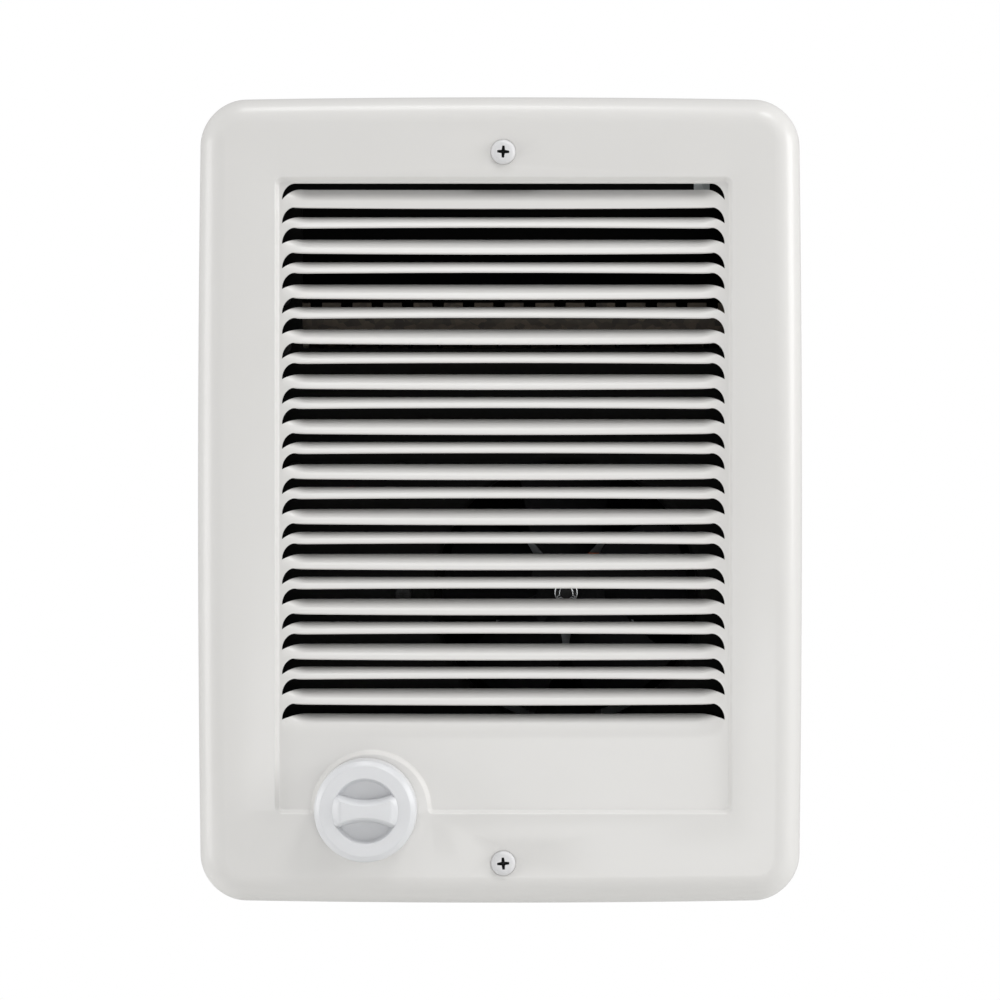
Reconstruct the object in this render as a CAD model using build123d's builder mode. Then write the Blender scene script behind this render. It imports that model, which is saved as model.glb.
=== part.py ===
from build123d import *
import math
import os

# Wall fan heater. +Z up, the front faces -Y, the wall surface is Y = 0. All sizes in mm.

# ---- grille, a 9 x 12 in pressed cover
grille_w = 228.6
grille_h = 304.8
grille_depth = 19.0
grille_corner_r = 21.0
grille_roll_r = 12.0
grille_t = 0.9

# recessed louvre panel
panel_left = -84.8
panel_right = 87.6
panel_bottom = -117.6
panel_top = 121.3
panel_corner_r = 3.6
panel_depth = 2.0
panel_step_r = 0.85

# louvres: each slat is the strip below one slot, pressed inwards along its top edge
slot_count = 24
slot_left = -82.1
slot_right = 84.6
slot_top = 119.3
slot_pitch = 8.49
slot_end_w = 4.6
slot_end_h = 5.9
slot_end_shift = 0.43
slot_mid_shift = 0.8
slat_arc_r = 8.1
slat_lean_start = 25.0
slat_lean_end = 85.0
slat_rise = 5.3
slat_lap = 1.0
lip_low = -89.0
lip_bow = 0.3
lip_arc_r = 8.4
lip_rise = 9.6

# knob boss and its hole
boss_x = -48.5
boss_z = -116.8
boss_r = 22.7
boss_bore_r = 6.5

# grille screws, No. 8 pan head
screw_x = 1.2
screw_top_z = 130.8
screw_low_z = -136.5
screw_head_r = 4.6
screw_head_h = 2.4
screw_shank_r = 2.05
screw_len = 16.0
screw_hole_r = 2.6
dimple_r = 7.0
dimple_depth = 0.6
recess_span = 4.5
recess_w = 1.1
recess_deep = 1.5

# ---- wall box, 8 x 10 x 4 in
can_w = 203.2
can_h = 254.0
can_d = 101.6
can_t = 0.9
can_z = (screw_top_z + screw_low_z) / 2
ear_w = 24.0
ear_front = -5.0
ear_end_gap = 7.0
tab_w = 14.0
tab_h = 16.0
tab_screw_in = 7.0
tab_zs = (95.0, -100.0)
nail_r = 2.5
nail_y = 20.0
nail_half = 80.0
knockout_r = 11.1
knockout_x = -20.0
knockout_y = 78.0
closed_knockouts = ((45.0, 78.0), (-70.0, 78.0))
tongue_x = 77.0
tongue_w = 6.0
tongue_len = 7.5
tongue_y = 3.0
knockout_groove = 0.6
knockout_groove_deep = 0.4

# ---- speed nuts
nut_w = 14.0
nut_t = 0.5
nut_leg = 12.0

# ---- heater deck
deck_y = 5.0
deck_t = 0.9
deck_gap = 0.7
deck_flange = 12.0
outlet_left = -75.5
outlet_right = 86.5
outlet_low = 58.0
outlet_top = 112.0
deck_screw_r = 1.65
deck_hole_r = 2.0
pan_r = 3.3
pan_h = 1.9
deck_screw_len = 7.0

# ---- fan and its orifice
fan_x = 25.4
fan_z = -35.6
orifice_r = 50.1
lip_r = 3.9
lip_straight = 4.0
fan_r = 47.5
fan_y = 18.0
blade_n = 5
blade_t = 0.8
blade_pitch = 28.0
blade_chord = 40.0
spider_r = 15.0
hub_r = 4.5
hub_len = 16.0
shaft_r = 2.38
shaft_front = 8.0
shaft_back = 72.0
slip = 0.02
run = 0.04
clip_r = 4.4
clip_t = 0.5

# ---- motor
strap_y = 31.0
strap_t = 1.2
strap_w = 22.0
strap_half = 58.0
strap_foot = 9.0
bracket_t = 2.0
bracket_half = 27.0
bracket_w = 14.0
pad_w = 8.0
motor_front = 42.0
stack_t = 16.0
boss_len = 8.0
boss_wall_r = 7.5
bearing_r = 5.0
bearing_len = 6.0
stator_half = 27.0
stator_up = 22.0
stator_down = 58.0
stator_corner = 3.0
window_half = 15.0
window_top = -22.0
window_low = -46.0
bore_r = 12.6
rotor_r = 12.2
ring_r = 11.4
ring_t = 1.6
bobbin_half = 14.0
bobbin_wall = 1.0
bobbin_flange_t = 2.0
bobbin_v = 13.0
bobbin_y = 15.0
wind_inset = 1.0
bobbin_gap = 0.05
shade_in = 8.0
shade_out = 18.0
shade_v = 14.0
shade_t = 2.0
shade_gap = 0.04
shade_stand = 0.5
motor_bolt_u = 23.0
motor_bolt_r = 1.95
motor_nut_r = 3.9
motor_nut_t = 3.0
blade_w = 6.3
tab_t = 0.8
motor_tab_len = 8.0
washer_r = 4.0
washer_t = 1.0
washer_gap = 0.35

# ---- element
rail_left = -79.0
rail_right = 90.0
rail_low = 60.0
rail_top = 74.0
rail_t = 1.0
rail_front_y = 12.0
rail_back_y = 52.0
notch_n = 14
notch_pitch = 11.7
notch_first = -70.55
notch_w = 2.0
notch_deep = 4.0
notch_low_deep = 3.0
ribbon_t = 0.5
ribbon_h = 2.4
ribbon_front = 10.4
ribbon_back = 54.6
ribbon_r = 2.4
side_t = 1.0
side_left = -77.0
side_right = 87.0
side_low = 54.0
side_top = 82.0
side_back = 58.0
side_foot = 10.0
side_screw_zs = (58.5, 77.5)
stud_upper = (42.0, rail_top - notch_deep + ribbon_h / 2)
stud_lower = (22.0, rail_low + notch_low_deep - ribbon_h / 2)
bush_r = 4.0
bush_neck_r = 3.0
bush_t = 2.0
stud_r = 1.0
stud_reach = 0.8
terminal_pitch = 8.0
terminal_h = 7.0
terminal_len = 8.0
link_w = 5.0

# ---- thermostat
stat_x = -50.3
stat_z = -116.1
case_half = 17.0
case_low = -127.0
case_top = -93.0
case_d = 20.0
case_wall = 2.0
cover_t = 1.2
bushing_r = 4.75
bushing_front = -1.0
bushing_flange_r = 7.0
bushing_flange_t = 1.2
nut_af = 14.0
nut_thick = 2.0
spindle_r = 3.175
spindle_front = -23.4
spindle_back = 17.0
flat_from = -14.0
flat_depth = 1.1
cam_r = 8.0
cam_t = 2.0
bimetal_w = 7.0
bimetal_t = 0.6
stat_tab_xs = (-58.0, -43.0)
stat_tab_y = 18.0

# ---- knob
knob_r = 19.25
knob_back = -19.6
knob_h = 13.5
knob_chamfer = 2.2
knob_pocket_r = 12.5
knob_pocket_deep = 6.5
knob_wall = 1.8
knob_floor = 1.6
knob_hub_r = 5.0
knob_hub_back = -15.0
grip_end = 5.0
grip_mid = 3.1
grip_proud = 1.8
grip_slope = 2.4
grip_reach = 12.9

# ---- high limit
limit_x = -58.0
limit_z = 11.2
limit_front = 12.0
limit_back = 19.0
limit_r = 8.0
limit_cap_r = 8.4
limit_cap_t = 3.0
limit_leg = 16.0
limit_plate_w = 14.0
limit_foot = 8.0
button_r = 1.9
button_front = 0.5
button_hole_r = 2.4
button_collar_r = 3.2
button_collar_t = 1.0
button_deep = 4.2
limit_tab_in = 6.4
limit_tab_out = 16.4
spring_wire = 0.4
spring_r = 2.5
spring_turns = 3

# ---- wiring
wire_r = 1.3
receptacle_w = 7.4
receptacle_t = 3.0
receptacle_len = 14.0
receptacle_lap = 7.0
bend_r = 5.0
floor_low_z = -124.5
floor_mid_z = -121.0
floor_top_z = -117.5
line_z = -113.5
stat_bend_r = 8.0
line_run = ((-72.0, -64.0), (66.0, -72.0), (74.0, -34.0))
load_turns = (-62.0, -40.0)
limit_run = (43.0, -70.0)
wall_run_y = 50.0
wall_run_z = (30.0, 10.0)
back_run = (-88.0, 58.0)
back_run_x = 20.0
supply_run = (-90.0, 34.0)
supply_run_z = (24.0, 4.0)
supply_end = ((-64.0, 34.0), (-44.0, 84.0), (-26.0, 84.0))

os.makedirs("parts", exist_ok=True)


def at_y(y):
    """The plane facing the front at depth y. Extruding by -d goes towards the wall."""
    return Plane.XZ.offset(-y)


def keep(builder, name):
    """Label one finished piece and write its file."""
    builder.part.label = name
    export_step(builder.part, f"parts/{name}.step")


def box(x0, x1, y0, y1, z0, z1, mode=Mode.ADD):
    """A box between six coordinates in the builder that is open."""
    with Locations(((x0 + x1) / 2, (y0 + y1) / 2, (z0 + z1) / 2)):
        Box(x1 - x0, y1 - y0, z1 - z0, mode=mode)


def rod(x, z, r, y0, y1, mode=Mode.ADD):
    """A cylinder along Y at (x, z), from y0 to y1."""
    with BuildSketch(at_y(y1)) as disc:
        with Locations((x, z)):
            Circle(r)
    extrude(disc.sketch, amount=y1 - y0, mode=mode)


def rod_x(y, z, r, x0, x1, mode=Mode.ADD):
    """A cylinder along X at (y, z), from x0 to x1."""
    with BuildSketch(Plane.YZ.offset(x0)) as disc:
        with Locations((y, z)):
            Circle(r)
    extrude(disc.sketch, amount=x1 - x0, mode=mode)


def lead(name, points, radii):
    """One insulated wire: straight runs joined by tangent arcs, swept at full size."""
    with BuildPart() as wire:
        with BuildLine() as route:
            FilletPolyline(*points, radius=radii)
        path = route.wires()[0]
        with BuildSketch(Plane(origin=path @ 0, z_dir=path % 0)):
            Circle(wire_r)
        sweep(path=path)
    keep(wire, name)
    run_len = path.length
    full = math.pi * wire_r**2 * run_len
    print(f"{name} length {run_len:.1f} volume share {wire.part.volume / full:.4f}")


# ======================================================= grille
def rolled_pan(w, h, depth, corner, roll, y_back):
    """A rounded tray with a rolled front edge, as one solid."""
    with BuildPart() as pan:
        with BuildSketch(at_y(y_back)):
            RectangleRounded(w, h, corner)
        extrude(amount=depth)
        fillet(pan.faces().sort_by(Axis.Y)[0].edges(), roll)
    return pan.part


panel_w = panel_right - panel_left
panel_h = panel_top - panel_bottom
panel_mid = ((panel_left + panel_right) / 2, (panel_bottom + panel_top) / 2)
front_y = -grille_depth
panel_y = front_y + panel_depth


def panel_sketch(grow):
    """The panel's outline: a rounded rectangle less the knob boss."""
    with BuildSketch(Plane.XZ) as outline:
        with Locations(panel_mid):
            RectangleRounded(panel_w + 2 * grow, panel_h + 2 * grow, panel_corner_r + grow)
        with Locations((boss_x, boss_z)):
            Circle(boss_r - grow, mode=Mode.SUBTRACT)
    return outline.sketch


def slot_line(k):
    """Height of slot k's top edge at its ends and at its middle. The last one is the lip's foot."""
    if k == slot_count:
        return lip_low, lip_low - lip_bow
    sign = 1 if k % 2 == 0 else -1
    base = slot_top - slot_pitch * k
    return base + sign * slot_end_shift, base + sign * slot_mid_shift


def slot_face(k):
    """One louvre opening: bowed top edge, rounded upper corners ending in points."""
    end, mid = slot_line(k)
    low_end, low_mid = slot_line(k + 1)
    left_in = slot_left + slot_end_w
    right_in = slot_right - slot_end_w
    centre = (slot_left + slot_right) / 2
    bend = math.sqrt(0.5)
    low_tip = end - slot_end_h
    with BuildLine() as edge:
        ThreePointArc((left_in, end), (centre, mid), (right_in, end))
        ThreePointArc(
            (right_in, end),
            (right_in + slot_end_w * bend, end - slot_end_h * (1 - bend)),
            (slot_right, low_tip),
        )
        Line((slot_right, low_tip), (right_in, low_tip))
        Line((right_in, low_tip), (right_in, low_end))
        ThreePointArc((right_in, low_end), (centre, low_mid), (left_in, low_end))
        Line((left_in, low_end), (left_in, low_tip))
        Line((left_in, low_tip), (slot_left, low_tip))
        ThreePointArc(
            (slot_left, low_tip),
            (left_in - slot_end_w * bend, end - slot_end_h * (1 - bend)),
            (left_in, end),
        )
    return edge.line


def slat_part(k):
    """The slat below slot k: a curved strip trimmed to its bowed front outline."""
    end, mid = slot_line(k + 1)
    up_end, up_mid = slot_line(k)
    base = min(end, mid)
    last = k == slot_count - 1
    share = 1 if last else (up_end + up_mid - end - mid) / (2 * slot_pitch)
    arc_r = lip_arc_r if last else slat_arc_r * share
    rise_h = lip_rise if last else slat_rise * share
    a0 = 0 if last else math.radians(slat_lean_start)
    a1 = math.radians(slat_lean_end)
    am = (a0 + a1) / 2
    skirt = 2 * slot_mid_shift

    def curve(r, a):
        """A point of the strip's section, as depth and height."""
        depth = arc_r * math.cos(a0) - r * math.cos(a)
        return panel_y + depth, base + r * math.sin(a) - arc_r * math.sin(a0)

    r_in = arc_r - grille_t
    top_front = curve(arc_r, a1)
    top_back = curve(r_in, a1)
    low_front = curve(arc_r, a0)
    low_back = curve(r_in, a0)
    with BuildPart() as blade:
        with BuildSketch(Plane.YZ.offset(slot_left - slat_lap)):
            with BuildLine():
                ThreePointArc(low_front, curve(arc_r, am), top_front)
                Line(top_front, top_back)
                ThreePointArc(top_back, curve(r_in, am), low_back)
                Line(low_back, (low_back[0], base - skirt))
                Line((low_back[0], base - skirt), (panel_y, base - skirt))
                Line((panel_y, base - skirt), low_front)
            make_face()
        extrude(amount=slot_right - slot_left + 2 * slat_lap)
        bend = math.sqrt(0.5)
        left_in = slot_left + slot_end_w
        right_in = slot_right - slot_end_w
        centre = (slot_left + slot_right) / 2
        neck = up_end - slot_end_h - end
        top = end + rise_h
        left = slot_left - slat_lap
        right = slot_right + slat_lap
        rise = top - end - neck
        with BuildSketch(at_y(0)):
            with BuildLine():
                ThreePointArc((left, end), (centre, mid), (right, end))
                Line((right, end), (right, end + neck))
                Line((right, end + neck), (slot_right, end + neck))
                ThreePointArc(
                    (slot_right, end + neck),
                    (right_in + slot_end_w * bend, end + neck + rise * bend),
                    (right_in, top),
                )
                Line((right_in, top), (left_in, top))
                ThreePointArc(
                    (left_in, top),
                    (left_in - slot_end_w * bend, end + neck + rise * bend),
                    (slot_left, end + neck),
                )
                Line((slot_left, end + neck), (left, end + neck))
                Line((left, end + neck), (left, end))
            make_face()
        extrude(amount=grille_depth, mode=Mode.INTERSECT)
    return blade.part


with BuildPart() as front_grille:
    add(rolled_pan(grille_w, grille_h, grille_depth, grille_corner_r, grille_roll_r, 0))
    add(
        rolled_pan(
            grille_w - 2 * grille_t,
            grille_h - 2 * grille_t,
            grille_depth - grille_t,
            grille_corner_r - grille_t,
            grille_roll_r - grille_t,
            0,
        ),
        mode=Mode.SUBTRACT,
    )
    # the panel is pressed in: backing first, then the front is cut down to it
    with BuildSketch(at_y(front_y + grille_t + panel_depth)):
        add(panel_sketch(grille_t))
    extrude(amount=panel_depth + grille_t / 2)
    with BuildSketch(at_y(panel_y)):
        add(panel_sketch(0))
    extrude(amount=panel_depth, mode=Mode.SUBTRACT)
    step_edges = front_grille.edges().filter_by_position(
        Axis.Y, front_y - 0.01, front_y + 0.01
    ).filter_by(lambda e: abs(e.center().X) < grille_w / 2 - grille_roll_r - 1)
    fillet(step_edges.filter_by(lambda e: abs(e.center().Z) < panel_top + 1), panel_step_r)
    # screw dimples
    for z in (screw_top_z, screw_low_z):
        rod(screw_x, z, dimple_r + grille_t, front_y + grille_t / 2, front_y + grille_t + dimple_depth)
        rod(screw_x, z, dimple_r, front_y - 1, front_y + dimple_depth, Mode.SUBTRACT)
        rod(screw_x, z, screw_hole_r, front_y - 1, front_y + 4, Mode.SUBTRACT)
    rod(stat_x, stat_z, boss_bore_r, front_y - 1, front_y + 4, Mode.SUBTRACT)
    with BuildSketch(at_y(panel_y + grille_t + 1)):
        for k in range(slot_count):
            with BuildLine():
                add(slot_face(k))
            make_face()
    extrude(amount=grille_t + 2, mode=Mode.SUBTRACT)
    for k in range(slot_count):
        add(slat_part(k))
keep(front_grille, "front_grille")

# cross-recess pan screws that hold the grille
seat_y = front_y + dimple_depth
with BuildPart() as grille_screws:
    for z in (screw_top_z, screw_low_z):
        rod(screw_x, z, screw_head_r, seat_y - screw_head_h, seat_y)
        rod(screw_x, z, screw_shank_r, seat_y, seat_y + screw_len)
    heads = grille_screws.faces().group_by(Axis.Y)[0].edges()
    fillet(heads, screw_head_h * 0.6)
    for z in (screw_top_z, screw_low_z):
        top = seat_y - screw_head_h
        for dx, dz in ((recess_span, recess_w), (recess_w, recess_span)):
            box(
                screw_x - dx / 2,
                screw_x + dx / 2,
                top - 1,
                top + recess_deep,
                z - dz / 2,
                z + dz / 2,
                Mode.SUBTRACT,
            )
keep(grille_screws, "grille_screws")

# ======================================================= wall box
can_top = can_z + can_h / 2
can_low = can_z - can_h / 2
can_x = can_w / 2
in_x = can_x - can_t
in_top = can_top - can_t
in_low = can_low + can_t
deck_back = deck_y + deck_t
ear_x0 = screw_x - ear_w / 2
ear_x1 = screw_x + ear_w / 2
ears = ((can_top, 1), (can_low, -1))
with BuildPart() as wall_can:
    box(-can_x, can_x, 0, can_d, can_low, can_top)
    box(-in_x, in_x, -1, can_d - can_t, in_low, in_top, Mode.SUBTRACT)
    for z, s in ears:
        inner = z - s * can_t
        far = z + s * (abs((screw_top_z if s > 0 else screw_low_z) - z) + ear_end_gap)
        box(ear_x0, ear_x1, ear_front, 0.5, min(z, inner), max(z, inner))
        box(ear_x0, ear_x1, ear_front, ear_front + can_t, min(inner, far), max(inner, far))
    for z in (screw_top_z, screw_low_z):
        rod(screw_x, z, screw_shank_r + 0.9, ear_front - 1, ear_front + 2, Mode.SUBTRACT)
    for z in tab_zs:
        for s in (-1, 1):
            x0 = s * (in_x - tab_w)
            x1 = s * (in_x + can_t / 2)
            box(min(x0, x1), max(x0, x1), deck_back, deck_back + can_t, z - tab_h / 2, z + tab_h / 2)
            rod(
                s * (in_x - tab_screw_in),
                z,
                deck_screw_r + slip,
                deck_back - 1,
                deck_back + 2,
                Mode.SUBTRACT,
            )
    # tongue that the deck hooks behind
    box(
        tongue_x - tongue_w / 2,
        tongue_x + tongue_w / 2,
        tongue_y,
        tongue_y + can_t,
        in_top - tongue_len,
        in_top + can_t / 2,
    )
    for z in (can_z + nail_half, can_z - nail_half):
        rod_x(nail_y, z, nail_r, -can_x - 1, can_x + 1, Mode.SUBTRACT)
    with BuildSketch(Plane.XY.offset(can_low - 1)):
        with Locations((knockout_x, knockout_y)):
            Circle(knockout_r)
    extrude(amount=can_t + 2, mode=Mode.SUBTRACT)
    with BuildSketch(Plane.XY.offset(can_low)):
        with Locations(*closed_knockouts):
            Circle(knockout_r)
            Circle(knockout_r - knockout_groove, mode=Mode.SUBTRACT)
    extrude(amount=knockout_groove_deep, mode=Mode.SUBTRACT)
    rod(60.0, -112.0, 2.0, can_d - can_t - 1, can_d + 1, Mode.SUBTRACT)
keep(wall_can, "wall_can")

# spring-steel speed nuts slid over the ears
with BuildPart() as speed_nuts:
    for z, s in ears:
        screw_z = screw_top_z if s > 0 else screw_low_z
        far = z + s * (abs(screw_z - z) + ear_end_gap)
        tip = far + s * nut_t
        near = far - s * nut_leg
        back = ear_front + can_t
        x0 = screw_x - nut_w / 2
        x1 = screw_x + nut_w / 2
        box(x0, x1, ear_front - nut_t, ear_front, min(near, tip), max(near, tip))
        box(x0, x1, back, back + nut_t, min(near, tip), max(near, tip))
        box(x0, x1, ear_front - nut_t, back + nut_t, min(far, tip), max(far, tip))
        rod(screw_x, screw_z, screw_shank_r + 0.5, ear_front - 1, ear_front + 0.1, Mode.SUBTRACT)
        rod(screw_x, screw_z, screw_shank_r + slip, back - 0.1, back + 1, Mode.SUBTRACT)
keep(speed_nuts, "speed_nuts")

with BuildPart() as ground_screw:
    rod(60.0, -112.0, 4.0, can_d - can_t - 2.2, can_d - can_t)
    fillet(ground_screw.faces().sort_by(Axis.Y)[0].edges(), 0.8)
    rod(60.0, -112.0, 2.0 - slip, can_d - can_t, can_d)
    box(57.2, 62.8, can_d - can_t - 3, can_d - can_t - 1.4, -112.4, -111.6, Mode.SUBTRACT)
keep(ground_screw, "ground_screw")

# ======================================================= heater deck
deck_x = in_x - deck_gap
deck_top = in_top - deck_gap
deck_low = in_low + deck_gap
curl_r = orifice_r + lip_r
with BuildPart() as heater_deck:
    box(-deck_x, deck_x, deck_y, deck_back, deck_low, deck_top)
    box(-deck_x, deck_x, deck_y, deck_y + deck_flange, deck_top - deck_t, deck_top)
    box(-deck_x, deck_x, deck_y, deck_y + deck_flange, deck_low, deck_low + deck_t)
    box(outlet_left, outlet_right, deck_y - 1, deck_back + 1, outlet_low, outlet_top, Mode.SUBTRACT)
    rod(fan_x, fan_z, curl_r, deck_y - 1, deck_back + 1, Mode.SUBTRACT)
    # rolled orifice lip
    with BuildSketch(Plane(origin=(fan_x, 0, fan_z), x_dir=(1, 0, 0), z_dir=(0, 0, 1))):
        with BuildLine():
            mid = math.sqrt(0.5)
            r2 = lip_r - deck_t
            cy = deck_y + lip_r
            ThreePointArc(
                (curl_r, deck_y),
                (curl_r - lip_r * mid, cy - lip_r * mid),
                (orifice_r, cy),
            )
            Line((orifice_r, cy), (orifice_r, cy + lip_straight))
            Line((orifice_r, cy + lip_straight), (orifice_r + deck_t, cy + lip_straight))
            Line((orifice_r + deck_t, cy + lip_straight), (orifice_r + deck_t, cy))
            ThreePointArc(
                (orifice_r + deck_t, cy),
                (curl_r - r2 * mid, cy - r2 * mid),
                (curl_r, deck_back),
            )
            Line((curl_r, deck_back), (curl_r, deck_y))
        make_face()
    revolve(axis=Axis((fan_x, 0, fan_z), (0, 1, 0)))
    for z in tab_zs:
        for s in (-1, 1):
            rod(s * (in_x - tab_screw_in), z, deck_hole_r, deck_y - 1, deck_back + 1, Mode.SUBTRACT)
    for z in side_screw_zs:
        for x in (side_left - side_foot / 2 - side_t, side_right + side_t + side_foot / 2):
            rod(x, z, deck_screw_r + slip, deck_y - 1, deck_back + 1, Mode.SUBTRACT)
    for s in (-1, 1):
        x = fan_x + s * (strap_half + strap_foot / 2)
        rod(x, fan_z, deck_screw_r + slip, deck_y - 1, deck_back + 1, Mode.SUBTRACT)
        x = limit_x + s * (limit_leg + limit_foot / 2)
        rod(x, limit_z, deck_screw_r + slip, deck_y - 1, deck_back + 1, Mode.SUBTRACT)
    rod(stat_x, stat_z, bushing_r + 0.1, deck_y - 1, deck_back + 1, Mode.SUBTRACT)
    rod(limit_x, limit_z, button_hole_r, deck_y - 1, deck_back + 1, Mode.SUBTRACT)
keep(heater_deck, "heater_deck")


def screw_set(name, spots, head_y, length, side):
    """A set of equal pan-head screws along Y. side -1 has the heads at the front."""
    with BuildPart() as screws:
        for x, z in spots:
            head = (head_y - pan_h, head_y) if side < 0 else (head_y, head_y + pan_h)
            stem = (head_y, head_y + length) if side < 0 else (head_y - length, head_y)
            rod(x, z, pan_r, *head)
            rod(x, z, deck_screw_r, *stem)
        group = screws.faces().group_by(Axis.Y)[0 if side < 0 else -1]
        fillet(group.edges(), pan_h * 0.5)
        for x, z in spots:
            top = head_y - pan_h if side < 0 else head_y + pan_h
            for dx, dz in ((3.4, 0.8), (0.8, 3.4)):
                box(x - dx / 2, x + dx / 2, top - 1, top + 1, z - dz / 2, z + dz / 2, Mode.SUBTRACT)
    keep(screws, name)


tab_spots = [(s * (in_x - tab_screw_in), z) for z in tab_zs for s in (-1, 1)]
screw_set("deck_screws", tab_spots, deck_y, deck_screw_len, -1)

# ======================================================= element
notch_xs = [notch_first + notch_pitch * i for i in range(notch_n)]
for name, y in (("element_rail_front", rail_front_y), ("element_rail_rear", rail_back_y)):
    with BuildPart() as rail:
        box(rail_left, rail_right, y, y + rail_t, rail_low, rail_top)
        for x in notch_xs:
            box(
                x - notch_w / 2,
                x + notch_w / 2,
                y - 1,
                y + 2,
                rail_top - notch_deep,
                rail_top + 1,
                Mode.SUBTRACT,
            )
            box(
                x - notch_w / 2,
                x + notch_w / 2,
                y - 1,
                y + 2,
                rail_low - 1,
                rail_low + notch_low_deep,
                Mode.SUBTRACT,
            )
    keep(rail, name)

bush_in = side_left + side_t + bush_t
bush_out = side_right - bush_t
for name, stud, z0 in (
    ("element_ribbon_upper", stud_upper, rail_top - notch_deep),
    ("element_ribbon_lower", stud_lower, rail_low + notch_low_deep - ribbon_h),
):
    start = bush_in + stud_reach
    finish = bush_out - stud_reach
    pts = [(start, stud[0]), (notch_xs[0], stud[0])]
    for i, x in enumerate(notch_xs[:-1]):
        y = ribbon_back if i % 2 == 0 else ribbon_front
        pts += [(x, y), (x + notch_pitch, y)]
    pts += [(notch_xs[-1], stud[0]), (finish, stud[0])]
    with BuildPart() as ribbon:
        with BuildSketch(Plane.XY.offset(z0)):
            with BuildLine():
                FilletPolyline(*pts, radius=ribbon_r)
            trace(line_width=ribbon_t)
        extrude(amount=ribbon_h)
    keep(ribbon, name)

for name, x, s in (("element_bracket_left", side_left, -1), ("element_bracket_right", side_right, 1)):
    x1 = x + side_t
    foot = (x - side_foot, x) if s < 0 else (x1, x1 + side_foot)
    with BuildPart() as side:
        box(x, x1, deck_back, side_back, side_low, side_top)
        box(foot[0], foot[1], deck_back, deck_back + side_t, side_low, side_top)
        for y in (rail_front_y, rail_back_y):
            box(x - 1, x1 + 1, y, y + rail_t, rail_low, rail_top, Mode.SUBTRACT)
        for y, z in (stud_upper, stud_lower):
            rod_x(y, z, bush_neck_r + slip, x - 1, x1 + 1, Mode.SUBTRACT)
        for z in side_screw_zs:
            cx = side_left - side_foot / 2 - side_t if s < 0 else side_right + side_t + side_foot / 2
            rod(cx, z, deck_screw_r + slip, deck_back - 1, deck_back + 2, Mode.SUBTRACT)
    keep(side, name)

with BuildPart() as element_bushings:
    for x in (side_left, side_right):
        for y, z in (stud_upper, stud_lower):
            rod_x(y, z, bush_r, x - bush_t, x)
            rod_x(y, z, bush_neck_r, x, x + side_t)
            rod_x(y, z, bush_r, x + side_t, x + side_t + bush_t)
            rod_x(y, z, stud_r + slip, x - 5, x + 5, Mode.SUBTRACT)
keep(element_bushings, "element_bushings")

# each terminal is a stud through its bushing with a two-blade flag
flag_x = side_left - bush_t
with BuildPart() as element_terminals:
    for y, z in (stud_upper, stud_lower):
        rod_x(y, z, stud_r, flag_x - tab_t, bush_in + stud_reach)
        box(
            flag_x - tab_t,
            flag_x,
            y - terminal_pitch / 2 - blade_w / 2,
            y + terminal_pitch / 2 + blade_w / 2,
            z - terminal_h + 3,
            z + 3,
        )
        for s in (-1, 1):
            yc = y + s * terminal_pitch / 2
            low = z - terminal_h + 3 - terminal_len
            box(flag_x - tab_t, flag_x, yc - blade_w / 2, yc + blade_w / 2, low, z)
keep(element_terminals, "element_terminals")

with BuildPart() as element_link:
    for y, z in (stud_upper, stud_lower):
        rod_x(y, z, stud_r, bush_out - stud_reach, side_right + side_t + bush_t)
    x0 = side_right + side_t + bush_t
    with BuildSketch(Plane.YZ.offset(x0)):
        ym = (stud_upper[0] + stud_lower[0]) / 2
        zm = (stud_upper[1] + stud_lower[1]) / 2
        dy = stud_upper[0] - stud_lower[0]
        dz = stud_upper[1] - stud_lower[1]
        with Locations(Location((ym, zm), math.degrees(math.atan2(dz, dy)))):
            SlotCenterToCenter(math.hypot(dy, dz), link_w)
    extrude(amount=tab_t)
keep(element_link, "element_link")

side_spots = [
    (x, z)
    for z in side_screw_zs
    for x in (side_left - side_foot / 2 - side_t, side_right + side_t + side_foot / 2)
]
screw_set("element_screws", side_spots, deck_y, 5.0, -1)

# ======================================================= fan motor
motor_back = motor_front + stack_t
strap_back = strap_y + strap_t
bolt_us = (fan_x - motor_bolt_u, fan_x + motor_bolt_u)
with BuildPart() as motor_strap:
    x0 = fan_x - strap_half
    x1 = fan_x + strap_half
    z0 = fan_z - strap_w / 2
    z1 = fan_z + strap_w / 2
    box(x0, x1, strap_y, strap_back, z0, z1)
    box(x0, x0 + strap_t, deck_back, strap_back, z0, z1)
    box(x1 - strap_t, x1, deck_back, strap_back, z0, z1)
    box(x0 - strap_foot, x0 + strap_t, deck_back, deck_back + strap_t, z0, z1)
    box(x1 - strap_t, x1 + strap_foot, deck_back, deck_back + strap_t, z0, z1)
    rod(fan_x, fan_z, boss_wall_r + 1, strap_y - 1, strap_back + 1, Mode.SUBTRACT)
    for x in bolt_us:
        rod(x, fan_z, motor_bolt_r + slip, strap_y - 1, strap_back + 1, Mode.SUBTRACT)
    for s in (-1, 1):
        rod(
            fan_x + s * (strap_half + strap_foot / 2),
            fan_z,
            deck_screw_r + slip,
            deck_back - 1,
            deck_back + 2,
            Mode.SUBTRACT,
        )
keep(motor_strap, "motor_strap")
strap_spots = [(fan_x + s * (strap_half + strap_foot / 2), fan_z) for s in (-1, 1)]
screw_set("strap_screws", strap_spots, deck_y, 5.0, -1)

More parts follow.
